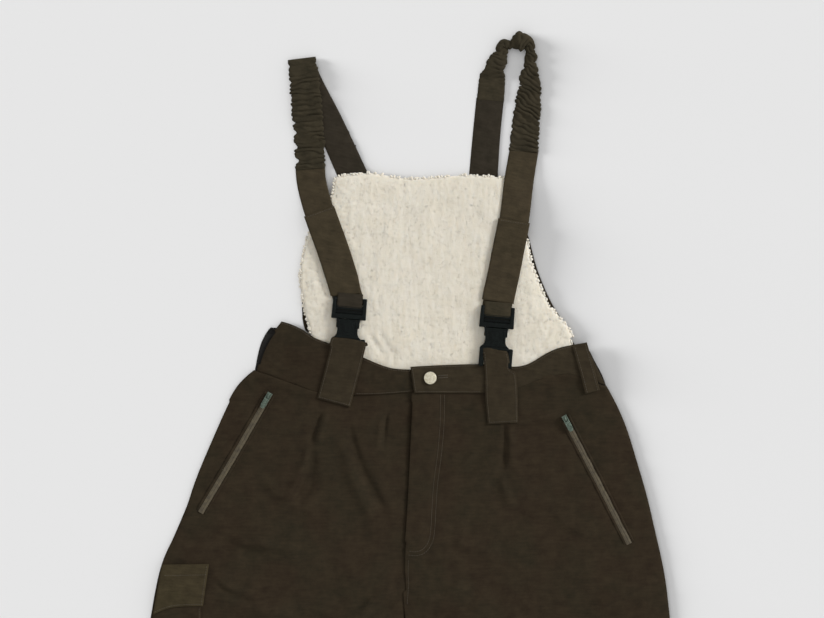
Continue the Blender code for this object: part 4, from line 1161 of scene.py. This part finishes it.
def female_half(ear_middle, ear_length):
    """A waisted case, two raised panels and their ribs, a shoulder, two ears and the tab's bar."""
    return [
        block((31.8, 24.6, 6.8), (0, -12.1, 3.5), 1.2, near=1.12, between=WAIST),
        block((19.5, 19.0, 2.2), (0, -11.5, 6.9), 0.8, near=0.46, between=(0.66, 0.78, 0.88)),
        block((14.0, 13.0, 2.0), (0, -10.6, 7.7), 0.9, near=0.5, between=(0.74, 0.88)),
        *pair((1.2, 19.0, 1.4), (11.4, -11.5, 6.9), 0.5),
        block((39, 6.4, 5.0), (0, -25.4, 2.8), 1.4, far=0.74, between=(1.0, 0.95)),
        *pair((6.2, ear_length, 5.0), (18.8, ear_middle, 2.8), 1.7, shift=2.6),
        block((42, 8.0, 3.2), (2.6, -31.0, 2.1), 1.0),
    ]


for side, buckle in BUCKLES.items():
    x, y = buckle["place"]
    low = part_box("buckle_male_" + side)[0].z
    frame_at = Matrix.Translation((x * MM, y * MM, low)) @ Matrix.Rotation(BUCKLE_TILT, 4, "Z")
    buckle["frame"] = frame_at
    male = male_half()
    female = female_half(buckle["ear_middle"], buckle["ear_length"])
    for kind, parts in (("male", male), ("female", female)):
        half = join(parts, f"{kind}_half_{side}", frame_at)
        smooth_below(half, 40)
        finish(half, acetal, [f"buckle_{kind}_{side}"])

# %% [markdown]
# Between the buckle's rails the strap comes back over the top bar and dives under the next one.
# That turn is a short closed sheet of its own, and it tucks in under the end of the strap above.
# Its moleskin is darker than the straps' as painted shade, for the shade under the buckle's bars.

# %% Strap round the bar
TURN_PLACES = (12.2, 13.2, 15, 18, 24, 29.5, 34.5)
TURN_HEIGHTS = (1.6, 2.6, 3.9, 4.5, 4.6, 4.4, 3.6)


def strap_turn(side, width, look):
    along = np.linspace(TURN_PLACES[-1], TURN_PLACES[0], 34)
    across = np.linspace(-1, 1, 19)
    edge = (1 - np.abs(across) ** 7) ** (1 / 7)
    ripple = noise_grid(along, across, lambda s, t: (s / 4, t * 1.2, 3))
    matrix = BUCKLES[side]["frame"]
    grid = [matrix @ Vector((t * width / 2 * MM, s * MM, 0)) for s in along for t in across]
    x, y = (np.array([p[k] for p in grid]).reshape(ripple.shape) / MM for k in (0, 1))
    middle = np.interp(along, TURN_PLACES, TURN_HEIGHTS)[:, None] - 1.0 + matrix.translation.z / MM
    name = "strap_round_bar_" + side
    turn = closed_sheet(name, x, y, middle + edge[None, :] + 0.3 * ripple, middle - 0.7 * edge[None, :])
    finish(turn, look, cut=(width + 2, 26))


# Painted shade: each turn takes a darker moleskin than the straps, for the buckle's bars above it
strap_turn("right", 33, back_strap_and_turn_shade_cloth)
strap_turn("left", 35, gathered_and_turn_shade_cloth)

# %% [markdown]
# The waist tabs loop through the female halves and are sewn down over the waistband. They lie on
# the buckle's end at the top and on the legs at the foot.


# %% Waist tabs
def squared_top(x, y):
    """Turn the top of the left tab along the buckle's bar, and narrow it between the rails."""
    inward = step_up((112 - x) / 14) * (4.4 * step_up((y - 300) / 50) + 3.5 * step_up((y - 354) / 5))
    inward = inward - step_up((x - 112) / 14) * 7.0 * step_up((y - 343) / 6)
    return inward, -0.28 * (x - 113) * step_up((y - 322) / 40) + 1.5 * step_up((y - 340) / 20)


TABS = (
    ("right", (48, 92), 374, 2.0, None),
    ("left", (46, 100), 357, 2.2, squared_top),
)
for side, cut, top, spread, slant in TABS:
    turned = ((-98, top, -62, top - 4, 0, 3.0, -0.8, 0.2), (94, top, 134, top, 0, 3.0, -0.8, 0.2))
    tab = cloth(
        "tab_" + side, "waist_tab_" + side, 3, turned, wall=2.0, soft=0.4, rim=1.2, turn=2.6,
        on=["front_leg_" + side, "front_waistband_" + side],
        grow=[(lambda x, y: y > top, spread)], slant=slant, extra=fine_wrinkles,
    )
    finish(tab, band_cloth, ["tab_" + side], cut=cut)

# %% [markdown]
# These zips are set with the smooth side of the tape outwards, so that the coil shows only in the
# slit between the two halves. A welt of moleskin stands along each side of the tape, higher on the
# outer side, where it throws a thin shadow.


# %% Pocket zips
def zip_tape(side):
    line = ZIP_LINES[side]
    lengths, places, way, half = run_frame([(*p, 7.4) for p in line], 0, lengths_along(line)[-1], 1.0)
    across = np.linspace(-1, 1, 25)
    x, y = ribbon(places, way, across * half[:, None])
    leg = ["front_leg_" + side]
    base = averaged([height(leg, *p) or 0 for p in places], 6)
    crown = 0.8 * (1 - across**2) - 0.75 * np.exp(-((across / 0.09) ** 2)) + 0.12 * np.cos(14 * across)
    ripple = noise_grid(lengths, across, lambda s, t: (s / 9, 2 * t, 6))
    upper = base[:, None] + 1.0 + crown[None, :] + 0.15 * ripple
    tape = closed_sheet("zip_tape_" + side, x, y, upper, base[:, None] + 0.1 + 0 * upper)
    loops = []
    for p, across_way, z in zip(places[::2], way[::2], base[::2] + 1.25):
        reach = across_way * 1.3 + 0.5 * np.array([-across_way[1], across_way[0]])
        loops.append([(*(p - reach), z), (*(p + reach), z)])
    coil = tube_mesh("zip_coil_" + side, loops, 0.34, STITCH_RINGS)
    finish(coil, tapes[side])
    node = "pocket_zip_" + side
    finish(tape, tapes[side], [node], cut=(11, 176))


def welt(side, offset, wide, tall):
    """A raised lip of cloth beside a zip."""
    line = beside(resample(ZIP_LINES[side], 1.2), offset)
    share = np.linspace(0, 1, len(line))
    across = np.linspace(-1, 1, 9)
    x, y = ribbon(line, left_of(line), across * wide / 2)
    leg = ["front_leg_" + side]
    base = np.array([[height(leg, a, b) or 0 for a, b in zip(p, q)] for p, q in zip(x, y)])
    taper = np.sqrt(1 - np.abs(2 * share - 1) ** 18)[:, None]
    swell = 1 + 0.2 * np.sin(share * 47 + offset)[:, None]
    upper = base - 0.3 + (tall + 0.3) * np.sqrt(1 - across**2)[None, :] * taper * swell
    return closed_sheet(f"welt_{side}_{offset:.0f}", x, y, upper, base - 0.5)


WELT_AREA = 0.0020
for side, outer in (("right", -1), ("left", 1)):
    zip_tape(side)
    lips = [welt(side, outer * 5.6, 4.4, 2.0), welt(side, -outer * 5.4, 4.0, 1.4)]
    welts = join(lips, "pocket_welts_" + side, Matrix())
    finish(welts, leg_cloth, cut=(12, 176), area=WELT_AREA)

# %% [markdown]
# The slider is die-cast: two plates round the coil, joined by a post, with a crown that holds the
# pull. The pull swings on the crown, so it rides on its own body. Its place comes from the joint.


# %% Sliders and pulls
def slider_parts():
    """Two plates and the post between them, the crown's feet and bridge, and two edge ribs."""
    return [
        block((8.0, 8.6, 1.1), (0, 0, 1.65), 0.4, far=0.9, near=0.68),
        block((7.4, 8.0, 0.7), (0, 0, 0.4), 0.25, far=0.9, near=0.68),
        block((2.6, 3.6, 0.8), (0, 1.6, 0.95), 0.2),
        *[block((2.2, 0.9, 3.2), (0, sign * 2.2, 3.7), 0.3) for sign in (-1, 1)],
        block((2.2, 5.3, 0.9), (0, 0, 5.15), 0.35),
        *pair((0.7, 7.0, 0.6), (3.0, 0, 2.3), 0.2),
    ]


def pull_parts():
    """A pin between two cheeks, the plate and its drawn-in tip, two ribs and four grip bars."""
    return [
        block((7.0, 1.1, 1.0), (0, 0, 0), 0.3),
        *pair((1.5, 4.4, 1.0), (2.75, -2.5, 0), 0.3),
        block((7.0, 11.4, 1.0), (0, -9.9, 0), 0.35),
        block((6.6, 4.2, 1.0), (0, -16.8, 0), 0.4, near=0.66),
        *pair((0.8, 10.0, 0.5), (2.7, -10.2, 0.6), 0.2),
        *[block((4.6, 0.7, 0.5), (0, -8.0 - 2.2 * k, 0.6), 0.2) for k in range(4)],
    ]


PIN_HEIGHT = 3.8
PULL_DROOP = math.radians(7)
joints = {joint["name"]: joint for joint in frame["record"]["behaviour"]["joints"]}
for side in ("right", "left"):
    joint = joints[f"pull_{side}_swing"]
    across = -Vector(joint["axis"]).normalized()
    along = Vector((-across.y, across.x, 0))
    turn = Matrix((across, along, Vector((0, 0, 1)))).transposed().to_4x4()
    pin = Matrix.Translation(Vector(joint["pos_m"]))
    foot = Matrix.Translation((0, 0, -PIN_HEIGHT * MM))
    slider = join(slider_parts(), "slider_" + side, pin @ foot @ turn)
    pull = join(pull_parts(), "pull_tab_" + side, pin @ turn @ Matrix.Rotation(PULL_DROOP, 4, "X"))
    for piece, node, body in ((slider, "zip_slider_", "root"), (pull, "zip_pull_", "pull_" + side)):
        smooth_below(piece, 40)
        finish(piece, zinc, [node + side], body)

# %% [markdown]
# The waist button is a pressed metal cap. It starts as a disc that is inset and pushed down, so
# that a rim stands round a plain dish, and its edges are bevelled. Its middle is left bare.

# %% Waist button
# Insets from the rim inwards: width and step up, in mm
DISH = ((1.4, 0), (0.7, -1.1), (2.2, -0.1), (0.6, 0.4), (1.2, 0.1))
low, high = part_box("button_waist")
bpy.ops.object.select_all(action="DESELECT")
bpy.ops.mesh.primitive_cylinder_add(vertices=48, radius=(high.x - low.x) / 2 * 0.97, depth=high.z - low.z)
button = bpy.context.object
button.name = "waist_button"
button.data.transform(Matrix.Translation((low + high) / 2))
for face in button.data.polygons:
    face.select = face.normal.z > 0.9
with editing(button, "FACE", None):
    for width, step in DISH:
        bpy.ops.mesh.inset(thickness=width * MM, depth=step * MM)
apply_modifier(button, "BEVEL", width=0.3 * MM, segments=2, limit_method="ANGLE")
smooth_below(button, 35)
finish(button, nickel, ["button_waist"])

# %% [markdown]
# Seams are what makes cloth look sewn. Each line below is one that the maker would run: round the
# waistband, down the fly in a double J, beside the zips, round the tabs, flap and pocket, and along
# the hems. The buttonhole is a short slit between two rows of close stitches.

# %% Seams
# For each piece: the two ends of a stretch of its rim, and how far inwards the seam runs, in mm
RIM_SEAMS = {
    "front_waistband_left": (
        ((3, 344), (7.5, 314), 2.2), ((7.5, 313), (94, 312), 2.0), ((4, 347), (92, 350), 2.2),
        ((134, 347), (232, 378), 2.2),
    ),
    "front_waistband_right": (
        ((-70, 311), (2, 313), 2.0), ((-168, 405), (-104, 378), 2.2), ((-58, 358), (2, 343), 2.2),
    ),
    "waist_tab_right": (
        ((-56, 376), (-78, 294), 2.4), ((-99, 386), (-120, 304), 2.4), ((-120, 304), (-78, 294), 2.4),
    ),
    "waist_tab_left": (
        ((91, 364), (104, 273), 2.4), ((135, 368), (143, 272), 2.4), ((104, 272), (143, 272), 2.4),
    ),
    "side_belt_loop": (
        ((215, 374), (232, 311), 3.0), ((233, 378), (251, 316), 3.0),
    ),
    "thigh_pocket_flap": (
        ((-264, 85), (-271, 33), 2.6), ((-271, 32), (-338, 18), 2.6),
    ),
    "thigh_pocket": (
        ((-274, 28), (-275, -122), 2.6),
    ),
    "turned_strap_right": (
        ((-134, 545), (-95, 556), 2.2),
    ),
    "turned_strap_left": (
        ((120, 541), (157, 535), 2.2),
    ),
}
for name, stretches in RIM_SEAMS.items():
    for start, end, inset in stretches:
        sew(along_rim(name, start, end, inset), [name])
FREE_SEAMS = (
    (FLY_STITCH, ["front_leg_left"]),
    (beside(FLY_STITCH, 5.2), ["front_leg_left"]),
    (FLY_SEAM, ["front_leg_left"]),
    ([(-322, 72), (-266, 73)], ["thigh_pocket_flap"]),
    ([(-350, -765), (-136, -765)], ["front_leg_right"]),
    ([(350, -765), (136, -765)], ["front_leg_left"]),
)
for line, on in FREE_SEAMS:
    sew(line, on)
BUTTONHOLE = ((38.5, 333.2), (50.5, 334.2))
for share in np.linspace(0, 1, 15):
    x, y = [a + (b - a) * share for a, b in zip(*BUTTONHOLE)]
    z = height(["front_waistband_left"], x, y)
    for sign in (-1, 1):
        sewn.append([(x, y + sign * 0.5, z - 0.1), (x + 0.1, y + sign * 2.3, z)])
finish(tube_mesh("seam_stitches", sewn, STITCH_RADIUS, STITCH_RINGS), thread)

# %% [markdown]
# The setting is a plain pale floor in a soft, even room light. In the photograph the long soft
# shadow on the floor falls to the right, while the overlapping edges of the cloth are shaded on
# their left. So one low sun lights the floor alone, from the left, and a higher one lights the
# garment alone, from the upper right. The camera looks straight down.

# %% Floor, light and camera
FLOOR_SIZE = 8
FLOOR_GAP = 0.0002
CAMERA_HEIGHT = 2.5
CAMERA_MIDDLE = (0.004, 0.4224)
LENS = 82.7
SENSOR = 36
bpy.ops.object.select_all(action="DESELECT")
bpy.ops.mesh.primitive_plane_add(size=FLOOR_SIZE, location=(0, 0, -FLOOR_GAP))
floor = bpy.context.object
floor.name = "pale_floor"
paper = new_material("matt_paper", {"Roughness": 0.95, "Base Color": linear("#e8e8e8")})[0]
floor.data.materials.append(paper)
floor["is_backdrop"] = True

world = bpy.data.worlds.new("soft_room")
world.use_nodes = True
room = world.node_tree.nodes["Background"].inputs
room["Color"].default_value = (1, 1, 1, 1)
room["Strength"].default_value = 0.67
bpy.context.scene.world = world
bpy.context.scene.view_settings.view_transform = "Standard"


def soft_sun(name, elevation, heading, energy, width, link):
    """A sun whose link to the floor is INCLUDE, to light it alone, or EXCLUDE, to leave it out."""
    turn = (0, math.radians(elevation - 90), math.radians(heading))
    bpy.ops.object.light_add(type="SUN", rotation=turn)
    sun = bpy.context.object
    sun.name = name
    sun.data.energy = energy
    sun.data.angle = math.radians(width)
    group = bpy.data.collections.new(name + "_receivers")
    group.objects.link(floor)
    sun.light_linking.receiver_collection = group
    group.collection_objects[0].light_linking.link_state = link


soft_sun("floor_light", 11, -12, 5.0, 22, "INCLUDE")
soft_sun("cloth_light", 30, 205, 2.0, 18, "EXCLUDE")

bpy.ops.object.camera_add(location=(*CAMERA_MIDDLE, CAMERA_HEIGHT), rotation=(0, 0, 0))
camera = bpy.context.object
camera.data.lens = LENS
camera.data.sensor_width = SENSOR
bpy.context.scene.camera = camera

# %% [markdown]
# The fabric may stand a little proud of its solids, and no more. The dressed model's size is printed.

# %% Sizes
low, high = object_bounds()
print("dressed model", [round(v, 4) for v in high - low])
